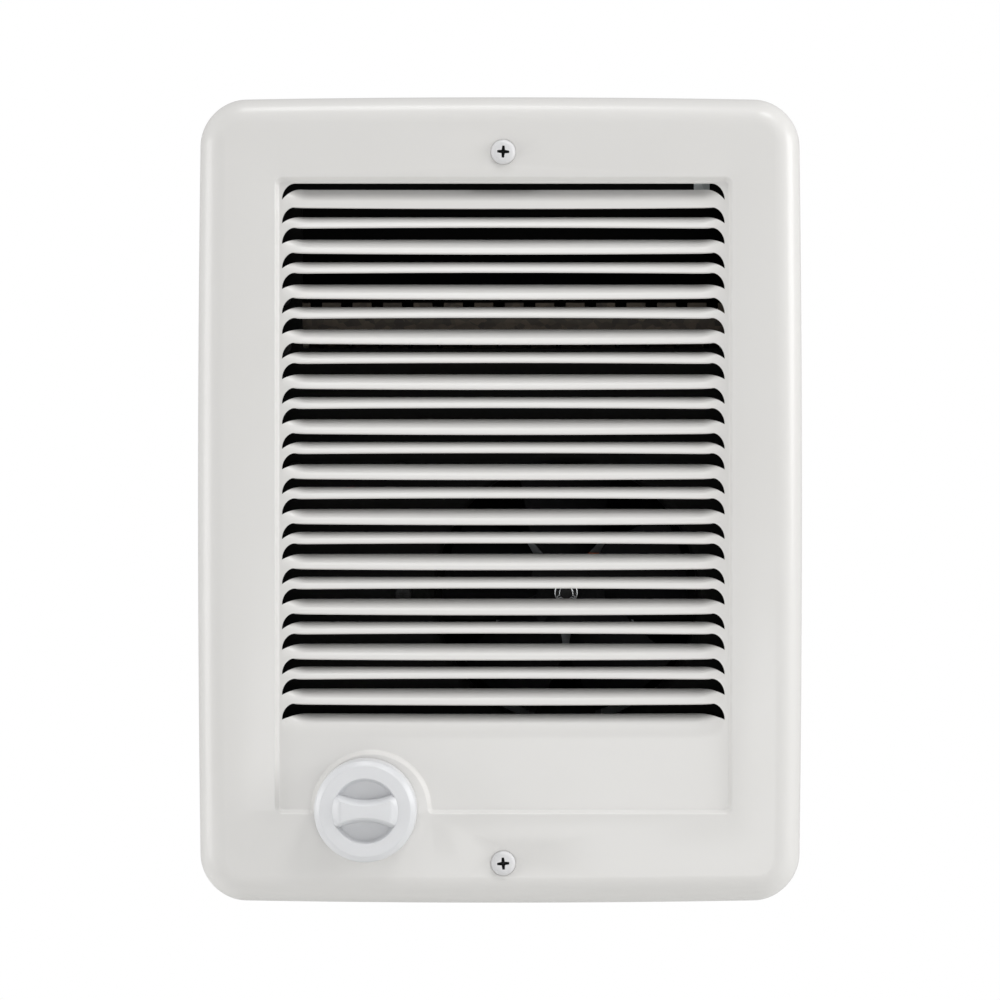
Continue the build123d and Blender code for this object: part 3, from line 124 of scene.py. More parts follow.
@dataclass(frozen=True)
class Finish:
    """One real finish: its colour, its gloss and the relief that making it left.

    Attributes:
        name: What the finish is called in the shop.
        colour: Main colour, sRGB hex.
        second: The colour that it drifts to.
        roughness: Mean roughness.
        metallic: One for bare metal.
        ior: Refractive index, or None to keep the default, as metals do.
        grain: The kind of relief.
        grain_mm: Size of one grain, brush line or layer.
        depth_mm: How deep the relief goes.
        patch_mm: Size of the drifts of colour and gloss.
        swing: How far the roughness drifts each way.
        stretch: How much the relief is drawn out along X, Y and Z.
        coat: Strength of a clear coat.
        coat_roughness: Roughness of the clear coat.
        mix: How strongly the second colour shows.
        specular: Strength of the surface reflection, half for most coatings.
    """

    name: str
    colour: str
    second: str
    roughness: float
    metallic: float = 0.0
    ior: Optional[float] = None
    grain: Grain = Grain.SPECKLE
    grain_mm: float = 0.8
    depth_mm: float = 0.01
    patch_mm: float = 30.0
    swing: float = 0.05
    stretch: Point = (1.0, 1.0, 1.0)
    coat: float = 0.0
    coat_roughness: float = 0.15
    mix: float = 0.5
    specular: float = 0.5

    def material(self) -> bpy.types.Material:
        """Builds the material once and returns it every time after.

        Returns:
            The node material of this finish.
        """
        known = bpy.data.materials.get(self.name)
        if known is not None:
            return known
        made = bpy.data.materials.new(self.name)
        made.use_nodes = True
        tree = made.node_tree
        shader = tree.nodes["Principled BSDF"]
        shader.inputs["Metallic"].default_value = self.metallic
        if self.ior is not None:
            shader.inputs["IOR"].default_value = self.ior
            shader.inputs["Specular IOR Level"].default_value = self.specular
        if self.coat:
            shader.inputs["Coat Weight"].default_value = self.coat
            shader.inputs["Coat Roughness"].default_value = self.coat_roughness
        place = add_node(tree, "ShaderNodeTexCoord").outputs["Object"]
        self.paint(tree, shader, place)
        made.diffuse_color = linear(self.colour)
        return made

    def paint(self, tree: bpy.types.NodeTree, shader: bpy.types.Node, place: Any) -> None:
        """Links colour, roughness and relief into the shader.

        Args:
            tree: The material's node tree.
            shader: Its Principled node.
            place: The coordinate socket that every pattern reads.
        """
        drift = add_node(
            tree, "ShaderNodeTexNoise",
            values={"Scale": 1 / (self.patch_mm * MM), "Detail": 3.0, "Roughness": 0.55},
            links={"Vector": place},
        )
        pattern, tint = self.relief(tree, place)
        share = add_node(
            tree, "ShaderNodeMath",
            settings={"operation": "MULTIPLY"},
            values={1: self.mix},
            links={0: tint if tint is not None else drift.outputs["Fac"]},
        )
        colour = add_node(
            tree, "ShaderNodeMix",
            settings={"data_type": "RGBA"},
            values={MIX_A: linear(self.colour), MIX_B: linear(self.second)},
            links={0: share.outputs[0]},
        )
        tree.links.new(colour.outputs[MIX_OUT], shader.inputs["Base Color"])
        gloss = add_node(
            tree, "ShaderNodeMapRange",
            values={
                "To Min": max(0.02, self.roughness - self.swing),
                "To Max": min(1.0, self.roughness + self.swing),
            },
            links={"Value": drift.outputs["Fac"]},
        )
        tree.links.new(gloss.outputs[0], shader.inputs["Roughness"])
        bump = add_node(
            tree, "ShaderNodeBump",
            values={"Strength": 1.0, "Distance": self.depth_mm * MM},
            links={"Height": pattern},
        )
        tree.links.new(bump.outputs[0], shader.inputs["Normal"])

    def relief(self, tree: bpy.types.NodeTree, place: Any) -> tuple[Any, Any]:
        """Makes the fine pattern of the finish.

        Args:
            tree: The material's node tree.
            place: The coordinate socket to read.

        Returns:
            The height socket, and the socket that tints the colour or None.
        """
        drawn = add_node(
            tree, "ShaderNodeMapping",
            values={"Scale": tuple(1 / s for s in self.stretch)},
            links={"Vector": place},
        ).outputs[0]
        scale = 1 / (self.grain_mm * MM)
        if self.grain is Grain.SPANGLE:
            cells = add_node(
                tree, "ShaderNodeTexVoronoi",
                values={"Scale": scale, "Randomness": 1.0},
                links={"Vector": drawn},
            )
            grey = add_node(tree, "ShaderNodeSeparateColor", links={0: cells.outputs["Color"]})
            return cells.outputs["Distance"], grey.outputs[0]
        if self.grain is Grain.LAYERS:
            bands = add_node(
                tree, "ShaderNodeTexWave",
                settings={"bands_direction": "Y"},
                values={"Scale": math.tau / WAVE_TURN * scale, "Distortion": 0.3, "Detail": 1.0},
                links={"Vector": drawn},
            )
            return bands.outputs["Fac"], bands.outputs["Fac"]
        speckle = add_node(
            tree, "ShaderNodeTexNoise",
            values={"Scale": scale, "Detail": 2.0, "Roughness": 0.5},
            links={"Vector": drawn},
        )
        tint = speckle.outputs["Fac"] if self.grain is Grain.BRUSHED else None
        return speckle.outputs["Fac"], tint


# Powder coat: baked white polyester, a soft sheen over a faint orange peel.
POWDER_COAT = Finish(
    "powder_coated_steel", "dddcda", "d6d4d1", 0.40, ior=1.5,
    grain_mm=1.1, depth_mm=0.006, patch_mm=60, swing=0.03, coat=0.22,
)
# White enamelled screw heads, a little cooler and smoother than the sheet.
WHITE_ENAMEL = Finish(
    "enamelled_screw_steel", "dcdcdd", "cfcfd0", 0.36, ior=1.5,
    grain_mm=0.5, depth_mm=0.01, patch_mm=3, swing=0.05,
)
# The screw recess: painted shade, dark steel that stands in for the shadow down in the cross.
RECESS_SHADE_STEEL = Finish(
    "recess_shade_steel", "2a2d2e", "131415", 0.55, metallic=0.6,
    grain_mm=0.3, depth_mm=0.01, patch_mm=1,
)
# Hot-dip galvanised sheet: grey zinc in leaf-shaped crystals, each with its own shade.
GALVANISED = Finish(
    "galvanised_sheet", "c3c7c9", "a3a9ac", 0.40, metallic=1.0,
    grain=Grain.SPANGLE, grain_mm=4.2, depth_mm=0.003, patch_mm=25, swing=0.06,
    stretch=(1.0, 1.0, 1.4), mix=0.7,
)
# Black heat-proof lacquer on the deck and inside the box, which paints the shade inside the heater:
# painted shade, soot-dull, hardly any sheen.
SHADE_BLACK_LACQUER = Finish(
    "shade_black_heatproof_lacquer", "070707", "0b0b0a", 0.62, ior=1.45,
    grain_mm=0.9, depth_mm=0.01, patch_mm=18, swing=0.08, specular=0.12,
)
# Black oxide on the steel that stands behind the louvres, which paints the shade there: painted
# shade, dull, blue-black and smooth.
SHADE_BLACK_OXIDE = Finish(
    "shade_black_oxide_steel", "0d0d0e", "17171a", 0.5, ior=1.5,
    grain_mm=0.3, depth_mm=0.008, patch_mm=3, swing=0.08, specular=0.3,
)
# Varnished cotton tape bound round the motor coil: dark brown, with a ridge at each lap.
COIL_TAPE = Finish(
    "varnished_coil_tape", "14110e", "231b13", 0.6, ior=1.5,
    grain=Grain.LAYERS, grain_mm=3.0, depth_mm=0.15, patch_mm=6, specular=0.25,
)
# Bright zinc plate on small screws and nuts, faintly blue.
ZINC_PLATE = Finish(
    "zinc_plated_steel", "c9ced2", "a4abb0", 0.32, metallic=1.0,
    grain_mm=0.4, depth_mm=0.006, patch_mm=4, swing=0.08,
)
# Blued spring steel: dark, thin oxide with a blue cast.
SPRING_STEEL = Finish(
    "blued_spring_steel", "3d4148", "565c66", 0.35, metallic=1.0,
    grain=Grain.BRUSHED, grain_mm=0.25, depth_mm=0.004, patch_mm=6, stretch=(12.0, 1.0, 1.0),
)
# Green dyed zinc on the earth screw.
GREEN_ZINC = Finish(
    "green_dyed_zinc", "2f7d43", "1f5c30", 0.34, metallic=1.0,
    grain_mm=0.4, depth_mm=0.006, patch_mm=3, swing=0.06,
)
# Mica board: pressed silvery flakes, browned by heat.
MICA = Finish(
    "pressed_mica_board", "4d4439", "241f1b", 0.45, ior=1.58,
    grain=Grain.SPANGLE, grain_mm=3.2, depth_mm=0.02, patch_mm=8, swing=0.12,
    stretch=(1.0, 1.0, 0.7), mix=0.8, specular=0.3,
)
# Nickel-chrome strip with the dark grey oxide of its first firing.
NICHROME = Finish(
    "oxidised_nickel_chrome", "5c5a58", "37322f", 0.38, metallic=1.0,
    grain=Grain.BRUSHED, grain_mm=0.3, depth_mm=0.004, patch_mm=9, swing=0.1,
    stretch=(1.0, 14.0, 1.0),
)
# Steatite: fired white ceramic with a matt skin.
STEATITE = Finish(
    "steatite_ceramic", "e4dfd2", "cfc8b8", 0.55, ior=1.6,
    grain_mm=0.35, depth_mm=0.01, patch_mm=4,
)
# Tinned brass blades, pale with a yellow undertone where the tin is thin.
TINNED_BRASS = Finish(
    "tinned_brass", "cfcabb", "bda777", 0.3, metallic=1.0,
    grain=Grain.BRUSHED, grain_mm=0.2, depth_mm=0.003, patch_mm=5, stretch=(1.0, 1.0, 10.0),
    mix=0.4,
)
# Mill-finish aluminium: bright, drawn lines from rolling.
ALUMINIUM = Finish(
    "mill_aluminium", "c6c8ca", "9da0a3", 0.36, metallic=1.0,
    grain=Grain.BRUSHED, grain_mm=0.35, depth_mm=0.004, patch_mm=20, swing=0.07,
    stretch=(18.0, 1.0, 1.0), mix=0.6,
)
# Black dipped aluminium on the fan: painted shade, a matt skin that hides the metal in the dark of
# the box.
SHADE_BLACK_DIPPED = Finish(
    "shade_black_dipped_aluminium", "08080a", "0e0e10", 0.55, ior=1.45,
    grain_mm=0.5, depth_mm=0.008, patch_mm=14, swing=0.08, specular=0.15,
)
# Ground steel: bright, with fine bands round it from the grinding wheel.
GROUND_STEEL = Finish(
    "ground_steel", "c4c6c8", "a3a6a9", 0.2, metallic=1.0,
    grain=Grain.LAYERS, grain_mm=0.3, depth_mm=0.002, patch_mm=10, mix=0.3,
)
# The laminated core: stamped sheets half a millimetre thick, oxide-dark at their edges.
LAMINATED_CORE = Finish(
    "stacked_core_steel", "4a4a4c", "8b8d90", 0.42, metallic=1.0,
    grain=Grain.LAYERS, grain_mm=0.8, depth_mm=0.05, patch_mm=12, mix=0.8,
)
# Enamelled copper of the shading rings: red-brown under a clear varnish.
ENAMELLED_COPPER = Finish(
    "enamelled_copper_wire", "8a3f1d", "c8743a", 0.28, metallic=1.0,
    grain=Grain.LAYERS, grain_mm=0.55, depth_mm=0.12, patch_mm=7, coat=0.6, mix=0.8,
)
# Sintered bronze bearings: porous, brown-gold and oily.
SINTERED_BRONZE = Finish(
    "sintered_bronze", "9a7446", "6b4e2c", 0.45, metallic=1.0,
    grain_mm=0.18, depth_mm=0.02, patch_mm=2, swing=0.08,
)
# Die-cast zinc: dull grey with the cast skin's fine pebble.
DIE_CAST_ZINC = Finish(
    "die_cast_zinc", "a6aaad", "868a8d", 0.48, metallic=1.0,
    grain_mm=0.4, depth_mm=0.02, patch_mm=6,
)
# Vulcanised fibre washers: dense red-brown paper.
FIBRE = Finish(
    "vulcanised_fibre", "6e2a1e", "4f1d15", 0.62, ior=1.5,
    grain_mm=0.25, depth_mm=0.015, patch_mm=2,
)
# Black phenolic moulding: glossy, with faint flow marks.
BLACK_PHENOLIC = Finish(
    "black_phenolic", "17171a", "232225", 0.3, ior=1.6,
    grain_mm=0.6, depth_mm=0.006, patch_mm=9, swing=0.07,
)
# Brown phenolic moulding of the cut-out: wood flour shows as a faint mottle.
BROWN_PHENOLIC = Finish(
    "brown_phenolic", "4b2a1c", "33190f", 0.34, ior=1.6,
    grain_mm=0.5, depth_mm=0.008, patch_mm=5, swing=0.06,
)
# Bimetal strip: one copper-toned face and one steel-toned face, blended.
BIMETAL = Finish(
    "rolled_bimetal", "b58f68", "93908c", 0.3, metallic=1.0,
    grain=Grain.BRUSHED, grain_mm=0.25, depth_mm=0.003, patch_mm=6, stretch=(1.0, 1.0, 10.0),
)
# The knob: white ABS with a moulded satin skin, a trace cooler than the paint.
KNOB_ABS = Finish(
    "moulded_white_abs", "dcdddf", "d6d7da", 0.33, ior=1.52,
    grain_mm=0.7, depth_mm=0.004, patch_mm=20, swing=0.03,
)
# Moulded nylon of the reset button: an even, half-gloss red.
RED_NYLON = Finish(
    "moulded_red_nylon", "b3221c", "8f1712", 0.35, ior=1.53,
    grain_mm=0.4, depth_mm=0.005, patch_mm=3,
)


def insulation(shade: str, colour: str, second: str, roughness: float = 0.4) -> Finish:
    """Extruded PVC on wire: half-gloss, with a faint unevenness from the die.

    Args:
        shade: Word for the colour.
        colour: Main colour, sRGB hex.
        second: The colour that it drifts to.
        roughness: Mean roughness.

    Returns:
        The finish.
    """
    return Finish(
        f"extruded_{shade}_pvc", colour, second, roughness, ior=1.53,
        grain_mm=0.5, depth_mm=0.008, patch_mm=12,
    )


BLACK_PVC = insulation("black", "161617", "202021")
RED_PVC = insulation("red", "a32620", "8c1d18")
WHITE_PVC = insulation("white", "dcdad3", "cfccc2", 0.42)
# Push-on connector sleeves: clear-blue nylon over tinned brass, here opaque.
SLEEVE_NYLON = Finish(
    "nylon_connector_sleeve", "9fb0bd", "8597a6", 0.36, ior=1.53,
    grain_mm=0.4, depth_mm=0.006, patch_mm=4,
)
# Studio floor: seamless pale paper.
STUDIO_PAPER = Finish(
    "studio_paper", "f2f2f1", "ececea", 0.85, ior=1.45,
    grain_mm=2.0, depth_mm=0.02, patch_mm=200,
)


# ---------------------------------------------------------------- workshop


@dataclass
class Piece:
    """A finished piece and what it stands for.

    Attributes:
        name: Name of the object.
        finish: Its finish.
        body: The moving body that it rides on.
        stands_for: The frame's node that it replaces, if any.
        slot: The record's material slot; not used.
        second: A finish for the faces whose material index is one.
    """

    name: str
    finish: Finish
    body: str
    stands_for: Optional[str] = None
    slot: Optional[str] = None
    second: Optional[Finish] = None

    def make(self, bm: Shape, sharp: float = 38.0) -> bpy.types.Object:
        """Turns a mesh drawn in millimetres into a piece in its place.

        Args:
            bm: The finished mesh, which is freed.
            sharp: Edges that fold by more degrees than this stay crisp.

        Returns:
            The new object.
        """
        bmesh.ops.scale(bm, vec=(MM, MM, MM), verts=bm.verts)
        mesh = bpy.data.meshes.new(self.name)
        bm.to_mesh(mesh)
        bm.free()
        mesh.polygons.foreach_set("use_smooth", [True] * len(mesh.polygons))
        mesh.set_sharp_from_angle(angle=math.radians(sharp))
        made = bpy.data.objects.new(self.name, mesh)
        bpy.context.scene.collection.objects.link(made)
        mesh.materials.append(self.finish.material())
        if self.second:
            mesh.materials.append(self.second.material())
        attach(made, self.body)
        if self.stands_for:
            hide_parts(self.stands_for)
        LOG.info("%s: %d faces", self.name, len(mesh.polygons))
        return made


def soften(piece: bpy.types.Object, width: float, segments: int = 2, angle: float = 35.0) -> None:
    """Rounds a piece's hard edges.

    Args:
        piece: The object to finish.
        width: Width of the rounding in millimetres.
        segments: Steps across it.
        angle: Edges that fold by more degrees than this are rounded.
    """
    bevel = piece.modifiers.new("edges", "BEVEL")
    bevel.width = width * MM
    bevel.segments = segments
    bevel.limit_method = "ANGLE"
    bevel.angle_limit = math.radians(angle)
    bevel.use_clamp_overlap = True
    bevel.harden_normals = True


def verts_in(geom: Iterable[Any]) -> list[bmesh.types.BMVert]:
    """The vertices among some geometry."""
    return [g for g in geom if isinstance(g, bmesh.types.BMVert)]


def edges_in(geom: Iterable[Any]) -> list[bmesh.types.BMEdge]:
    """The edges among some geometry."""
    return [g for g in geom if isinstance(g, bmesh.types.BMEdge)]


def draw(bm: Shape, points: Sequence[Point]) -> list[Any]:
    """Draws a chain of edges by pushing one vertex from point to point.

    Args:
        bm: The mesh to draw in.
        points: The stops, in order.

    Returns:
        The chain's vertices and edges.
    """
    tip = bmesh.ops.create_vert(bm, co=points[0])["vert"][0]
    chain: list[Any] = [tip]
    for stop in points[1:]:
        grown = bmesh.ops.extrude_vert_indiv(bm, verts=[tip])
        tip = grown["verts"][0]
        tip.co = Vector(stop)
        chain += [grown["edges"][0], tip]
    return chain


def swing(
    bm: Shape,
    geom: Iterable[Any],
    centre: Point,
    degrees: float,
    steps: int,
    axis: Point = FRONT,
    merge: bool = False,
) -> list[Any]:
    """Sweeps geometry round an axis and gives back its last copy.

    Args:
        bm: The mesh.
        geom: Vertices and edges to sweep.
        centre: A point on the axis.
        degrees: How far to turn.
        steps: Number of steps.
        axis: Direction of the axis.
        merge: Joins the last copy to the first, for a full turn.

    Returns:
        The geometry at the end of the sweep.
    """
    return bmesh.ops.spin(
        bm,
        geom=list(geom),
        cent=centre,
        axis=axis,
        dvec=(0, 0, 0),
        angle=math.radians(degrees),
        steps=steps,
        use_merge=merge,
        use_normal_flip=False,
        use_duplicate=False,
    )["geom_last"]


def slide(bm: Shape, geom: Iterable[Any], step: Point, steps: int) -> list[Any]:
    """Sweeps a chain of edges in a straight line.

    Args:
        bm: The mesh.
        geom: The chain's vertices and edges.
        step: The move made by each step.
        steps: Number of steps.

    Returns:
        The geometry at the end of the sweep.
    """
    edges = edges_in(geom)
    last: list[Any] = list(geom)
    for _ in range(steps):
        last = bmesh.ops.extrude_edge_only(bm, edges=edges)["geom"]
        moved = verts_in(last)
        bmesh.ops.translate(bm, vec=step, verts=moved)
        edges = [e for e in edges_in(last) if all(v in moved for v in e.verts)]
        last = moved + edges
    return last


def lathe(
    bm: Shape, profile: Sequence[tuple[float, float]], x: float, z: float, steps: int
) -> None:
    """Turns a profile about a line along Y.

    Args:
        bm: The mesh.
        profile: Radius and depth of each point, in order.
        x: Where the axis is.
        z: Where the axis is.
        steps: Number of sides.
    """
    chain = draw(bm, [(x + r, y, z) for r, y in profile])
    swing(bm, chain, (x, 0, z), 360, steps, merge=True)
    bmesh.ops.remove_doubles(bm, verts=bm.verts, dist=1e-4)


def face_out(bm: Shape) -> None:
    """Turns every face of a closed shape outwards."""
    bmesh.ops.recalc_face_normals(bm, faces=bm.faces)


def ease(t: float) -> float:
    """A smooth rise from 0 to 1 that starts and ends level."""
    t = min(1.0, max(0.0, t))
    return t * t * (3 - 2 * t)


# ---------------------------------------------------------------- the grille


@dataclass
class PressedGrille:
    """The stamped cover: a rolled tray, a sunk panel with a knob boss, and louvres.

    All sizes are in millimetres.
    """

    width: float = 228.6
    height: float = 304.8
    depth: float = 19.0
    corner: float = 17.5
    roll: float = 10.4
    hem: float = 1.2
    ledge: float = 0.3
    sheet: float = 0.9
    crown: float = 1.2
    crown_start: float = 1.9
    roll_steps: int = 14
    side_steps: int = 16
    corner_steps: int = 18
    left: float = -84.9
    right: float = 87.8
    low: float = -118.3
    high: float = 121.7
    panel_corner: float = 3.3
    sunk: float = 2.0
    step_width: float = 2.0
    step_rows: int = 10
    step_rim: float = 0.12
    bend_steps: int = 8
    boss_steps: int = 56
    boss: Point = (-48.5, -116.8, 21.0)
    boss_foot: float = 2.4
    bore: Point = (-50.3, -116.1, 6.5)
    dimples: tuple[tuple[float, float], ...] = ((1.2, 130.8), (1.2, -136.5))
    dimple_r: float = 5.2
    dimple_slope: float = 1.1
    dimple_deep: float = 0.6
    dimple_rows: int = 6
    dimple_flat: float = 1.4
    slots: int = 24
    slot_left: float = -82.1
    slot_right: float = 84.6
    slot_top: float = 119.15
    pitch: float = 8.49
    arc_w: float = 5.0
    arc_h: float = 6.2
    bow_end: float = 0.40
    bow_mid: float = 0.82
    rise: float = 0.555
    inward: float = 6.6
    lean: tuple[float, float] = (25.0, 84.0)
    reach: float = 7.0
    first_rise: float = 0.79
    first_lean: tuple[float, float] = (12.0, 62.0)
    lip_foot: float = -89.0
    lip_bow: float = 0.3
    lip_rise: float = 8.35
    lip_inward: float = 7.6
    lip_lean: tuple[float, float] = (0.0, 85.0)
    lip_reach: float = 9.0
    fold_extra: float = 2.0
    top_margin: float = 0.12
    lip_margin: float = 0.9
    slat_rows: int = 8
    tooth_rows: int = 4
    near: tuple[float, ...] = (
        -0.25, 0.0, 0.1, 0.35, 0.75, 1.3, 2.0, 2.8, 3.7, 4.4, 5.0, 5.8, 6.8, 8.0, 10.0, 14.0,
    )
    mid_steps: int = 14

    @property
    def face_y(self) -> float:
        """Depth of the frame's flat face."""
        return -self.depth

    @property
    def panel_y(self) -> float:
        """Depth of the sunk panel."""
        return self.sunk - self.depth

    def build(self) -> bpy.types.Object:
        """Makes the grille.

        Returns:
            The finished grille.
        """
        bm = bmesh.new()
        self.tray(bm)
        self.step(bm)
        self.dimple_rings(bm)
        bmesh.ops.create_circle(
            bm, segments=32, radius=self.bore[2], cap_ends=False, matrix=self.facing(self.bore)
        )
        bmesh.ops.remove_doubles(bm, verts=bm.verts, dist=0.002)
        self.fill(bm, self.face_y, bm.edges)
        self.louvres(bm)
        bmesh.ops.remove_doubles(bm, verts=bm.verts, dist=0.004)
        self.fill(bm, self.panel_y, self.panel_rim(bm))
        bmesh.ops.dissolve_degenerate(bm, dist=0.001, edges=bm.edges)
        face_out(bm)
        outward = sum(f.normal.y * f.calc_area() for f in bm.faces)
        if outward > 0:
            bmesh.ops.reverse_faces(bm, faces=bm.faces)
        piece = Piece("pressed_grille", POWDER_COAT, "heater", "front_grille", "white_powder_coat")
        made = piece.make(bm, sharp=50.0)
        wall = made.modifiers.new("sheet", "SOLIDIFY")
        wall.thickness = self.sheet * MM
        wall.offset = -1.0
        wall.use_even_offset = False
        wall.use_quality_normals = True
        soften(made, 0.22, 2, 42.0)
        return made

    def facing(self, spot: tuple[float, ...]) -> Matrix:
        """The matrix that stands a circle up on the frame's face at a spot."""
        turn = Matrix.Rotation(math.radians(90), 4, "X")
        return Matrix.Translation((spot[0], self.face_y, spot[1])) @ turn

    def tray(self, bm: Shape) -> None:
        """Sweeps the rolled edge round the grille, then crowns its sides a little.

        Args:
            bm: The mesh.
        """
        x, z = self.width / 2, self.height / 2
        cx, cz = x - self.corner, z - self.corner
        wall = draw(bm, [(x, 0, -cz), (x, -self.hem, -cz), (x, self.roll - self.depth, -cz)])
        tip = wall[-1]
        roll_axis = (x - self.roll, self.roll - self.depth, -cz)
        top = verts_in(swing(bm, [tip], roll_axis, -90, self.roll_steps, axis=(0, 0, 1)))[0]
        if abs(top.co.y - self.face_y) > 0.01:
            raise ValueError("the roll turned the wrong way")
        ledge = bmesh.ops.extrude_vert_indiv(bm, verts=[top])["verts"][0]
        ledge.co.x -= self.ledge
        geom: list[Any] = list(bm.verts) + list(bm.edges)
        sides = ((0, 2 * cz), (-2 * cx, 0), (0, -2 * cz), (2 * cx, 0))
        corners = ((cx, cz), (-cx, cz), (-cx, -cz), (cx, -cz))
        for (dx, dz), (px, pz) in zip(sides, corners):
            n = self.side_steps
            geom = slide(bm, geom, (dx / n, 0, dz / n), n)
            geom = swing(bm, geom, (px, 0, pz), 90, self.corner_steps)
        bmesh.ops.remove_doubles(bm, verts=bm.verts, dist=0.01)
        for v in bm.verts:
            across, along = v.co.x / x, v.co.z / z
            v.co.x -= self.crown * across * along**2 * ease(abs(across) * 3 - self.crown_start)
            v.co.z -= self.crown * along * across**2 * ease(abs(along) * 3 - self.crown_start)

    def step(self, bm: Shape) -> None:
        """Draws the panel's outline round the boss and sinks it by a soft step.

        Args:
            bm: The mesh.
        """
        bx, bz, br = self.boss
        foot, c = self.boss_foot, self.panel_corner
        fz = self.low + foot
        fx = math.sqrt((br + foot) ** 2 - (fz - bz) ** 2)
        lean = math.degrees(math.atan2(fz - bz, fx))
        y, bend = self.face_y, self.bend_steps
        start = draw(bm, [(bx + fx, y, self.low), (self.right - c, y, self.low)])
        first, tip = start[0], start[-1]

        def arc(cx: float, cz: float, degrees: float, steps: int) -> None:
            """Carries the pen round a centre."""
            nonlocal tip
            tip = verts_in(swing(bm, [tip], (cx, 0, cz), degrees, steps))[0]

        def line(x: float, z: float) -> None:
            """Carries the pen straight to a point."""
            nonlocal tip
            tip = bmesh.ops.extrude_vert_indiv(bm, verts=[tip])["verts"][0]
            tip.co = Vector((x, y, z))

        before = set(bm.verts)
        arc(self.right - c, self.low + c, 90, bend)
        line(self.right, self.high - c)
        arc(self.right - c, self.high - c, 90, bend)
        line(self.left + c, self.high)
        arc(self.left + c, self.high - c, 90, bend)
        line(self.left, self.low + c)
        arc(self.left + c, self.low + c, 90, bend)
        line(bx - fx, self.low)
        arc(bx - fx, fz, 90 - lean, bend)
        arc(bx, bz, -(180 - 2 * lean), self.boss_steps)
        arc(bx + fx, fz, 90 - lean, bend)
        loop = [v for v in bm.verts if v not in before] + [start[0], start[-1]]
        bmesh.ops.remove_doubles(bm, verts=loop, dist=0.02)
        ring = [
            e for e in bm.edges
            if not e.link_faces and all(abs(v.co.y - y) < LEVEL for v in e.verts)
        ]
        panel = bmesh.ops.edgeloop_fill(bm, edges=ring)["faces"][0]
        self.sink(bm, panel, self.step_width, self.sunk, self.step_rows)
        bmesh.ops.delete(bm, geom=[panel], context="FACES_ONLY")

    def sink(
        self, bm: Shape, panel: bmesh.types.BMFace, wide: float, deep: float, steps: int
    ) -> None:
        """Insets a face in small steps and lets each one down along a smooth curve.

        Args:
            bm: The mesh.
            panel: The face.
            wide: Width of the whole step.
            deep: How far the face goes down.
            steps: Number of small steps.
        """
        gone = 0.0
        for i in range(1, steps + 1):
            bmesh.ops.inset_region(
                bm, faces=[panel], thickness=wide / steps, depth=0.0, use_even_offset=True,
                use_boundary=True,
            )
            fall = deep * (1 - math.cos(math.pi * i / steps)) / 2
            bmesh.ops.translate(bm, vec=(0, fall - gone, 0), verts=list(panel.verts))
            gone = fall
        bmesh.ops.inset_region(
            bm, faces=[panel], thickness=self.step_rim, depth=0.0, use_even_offset=True,
            use_boundary=True,
        )

    def dimple_rings(self, bm: Shape) -> None:
        """Presses the shallow seat of each screw and opens its hole.

        Args:
            bm: The mesh.
        """
        for spot in self.dimples:
            disc = bmesh.ops.create_circle(
                bm, segments=48, radius=self.dimple_r, cap_ends=True, matrix=self.facing(spot)
            )
            seat = disc["verts"][0].link_faces[0]
            self.sink(bm, seat, self.dimple_slope, self.dimple_deep, self.dimple_rows)
            bmesh.ops.inset_region(
                bm, faces=[seat], thickness=self.dimple_flat, depth=0.0, use_even_offset=True
            )
            bmesh.ops.delete(bm, geom=[seat], context="FACES_ONLY")

    def fill(self, bm: Shape, y: float, edges: Iterable[Any]) -> None:
        """Closes the flat sheet between open loops at one depth.

        Args:
            bm: The mesh.
            y: The depth.
            edges: Edges to look for the loops in.
        """
        rim = [
            e for e in edges
            if len(e.link_faces) < 2 and all(abs(v.co.y - y) < LEVEL for v in e.verts)
        ]
        bmesh.ops.triangle_fill(bm, edges=rim, use_beauty=True, use_dissolve=False, normal=FRONT)

    # -- louvres

    def line(self, k: int, x: float) -> float:
        """Height of cut k at x. The cuts bow up and down by turns.

        Args:
            k: Number of the cut, from the top.
            x: Where along it.

        Returns:
            The height.
        """
        middle = (self.slot_left + self.slot_right) / 2
        half = (self.slot_right - self.slot_left) / 2
        share = max(0.0, 1 - ((x - middle) / half) ** 2)
        if k == 0:
            return self.slot_top
        if k == self.slots:
            return self.lip_foot - self.lip_bow * share
        sign = 1 if k % 2 == 0 else -1
        return self.slot_top - self.pitch * k + sign * (
            self.bow_end + (self.bow_mid - self.bow_end) * share
        )

    def tip(self, k: int) -> float:
        """Height of the point where slot k ends."""
        return self.line(k, self.slot_left) - self.arc_h

    def columns(self) -> list[float]:
        """The places along a slat where its section is taken, close together at the ends."""
        a, b = self.slot_left + self.near[-1], self.slot_right - self.near[-1]
        middle = [a + (b - a) * i / self.mid_steps for i in range(1, self.mid_steps)]
        ends = [self.slot_left + n for n in self.near]
        return ends + middle + [self.slot_right - n for n in reversed(self.near)]

    def weave(
        self,
        bm: Shape,
        xs: Sequence[float],
        rows: int,
        place: Callable[[float, float], tuple[float, float]],
    ) -> None:
        """Lays one grid over chosen columns and moves it to depth and height by a rule.

        Args:
            bm: The mesh.
            xs: The columns.
            rows: Number of faces up the grid.
            place: Gives depth and height for a column and a share of the way up.
        """
        n = len(xs) - 1
        grid = bmesh.ops.create_grid(bm, x_segments=n, y_segments=rows, size=1.0)["verts"]
        for v in grid:
            i = round((v.co.x + 1) / 2 * n)
            t = (v.co.y + 1) / 2
            y, z = place(xs[i], t)
            v.co = Vector((xs[i], y, z))

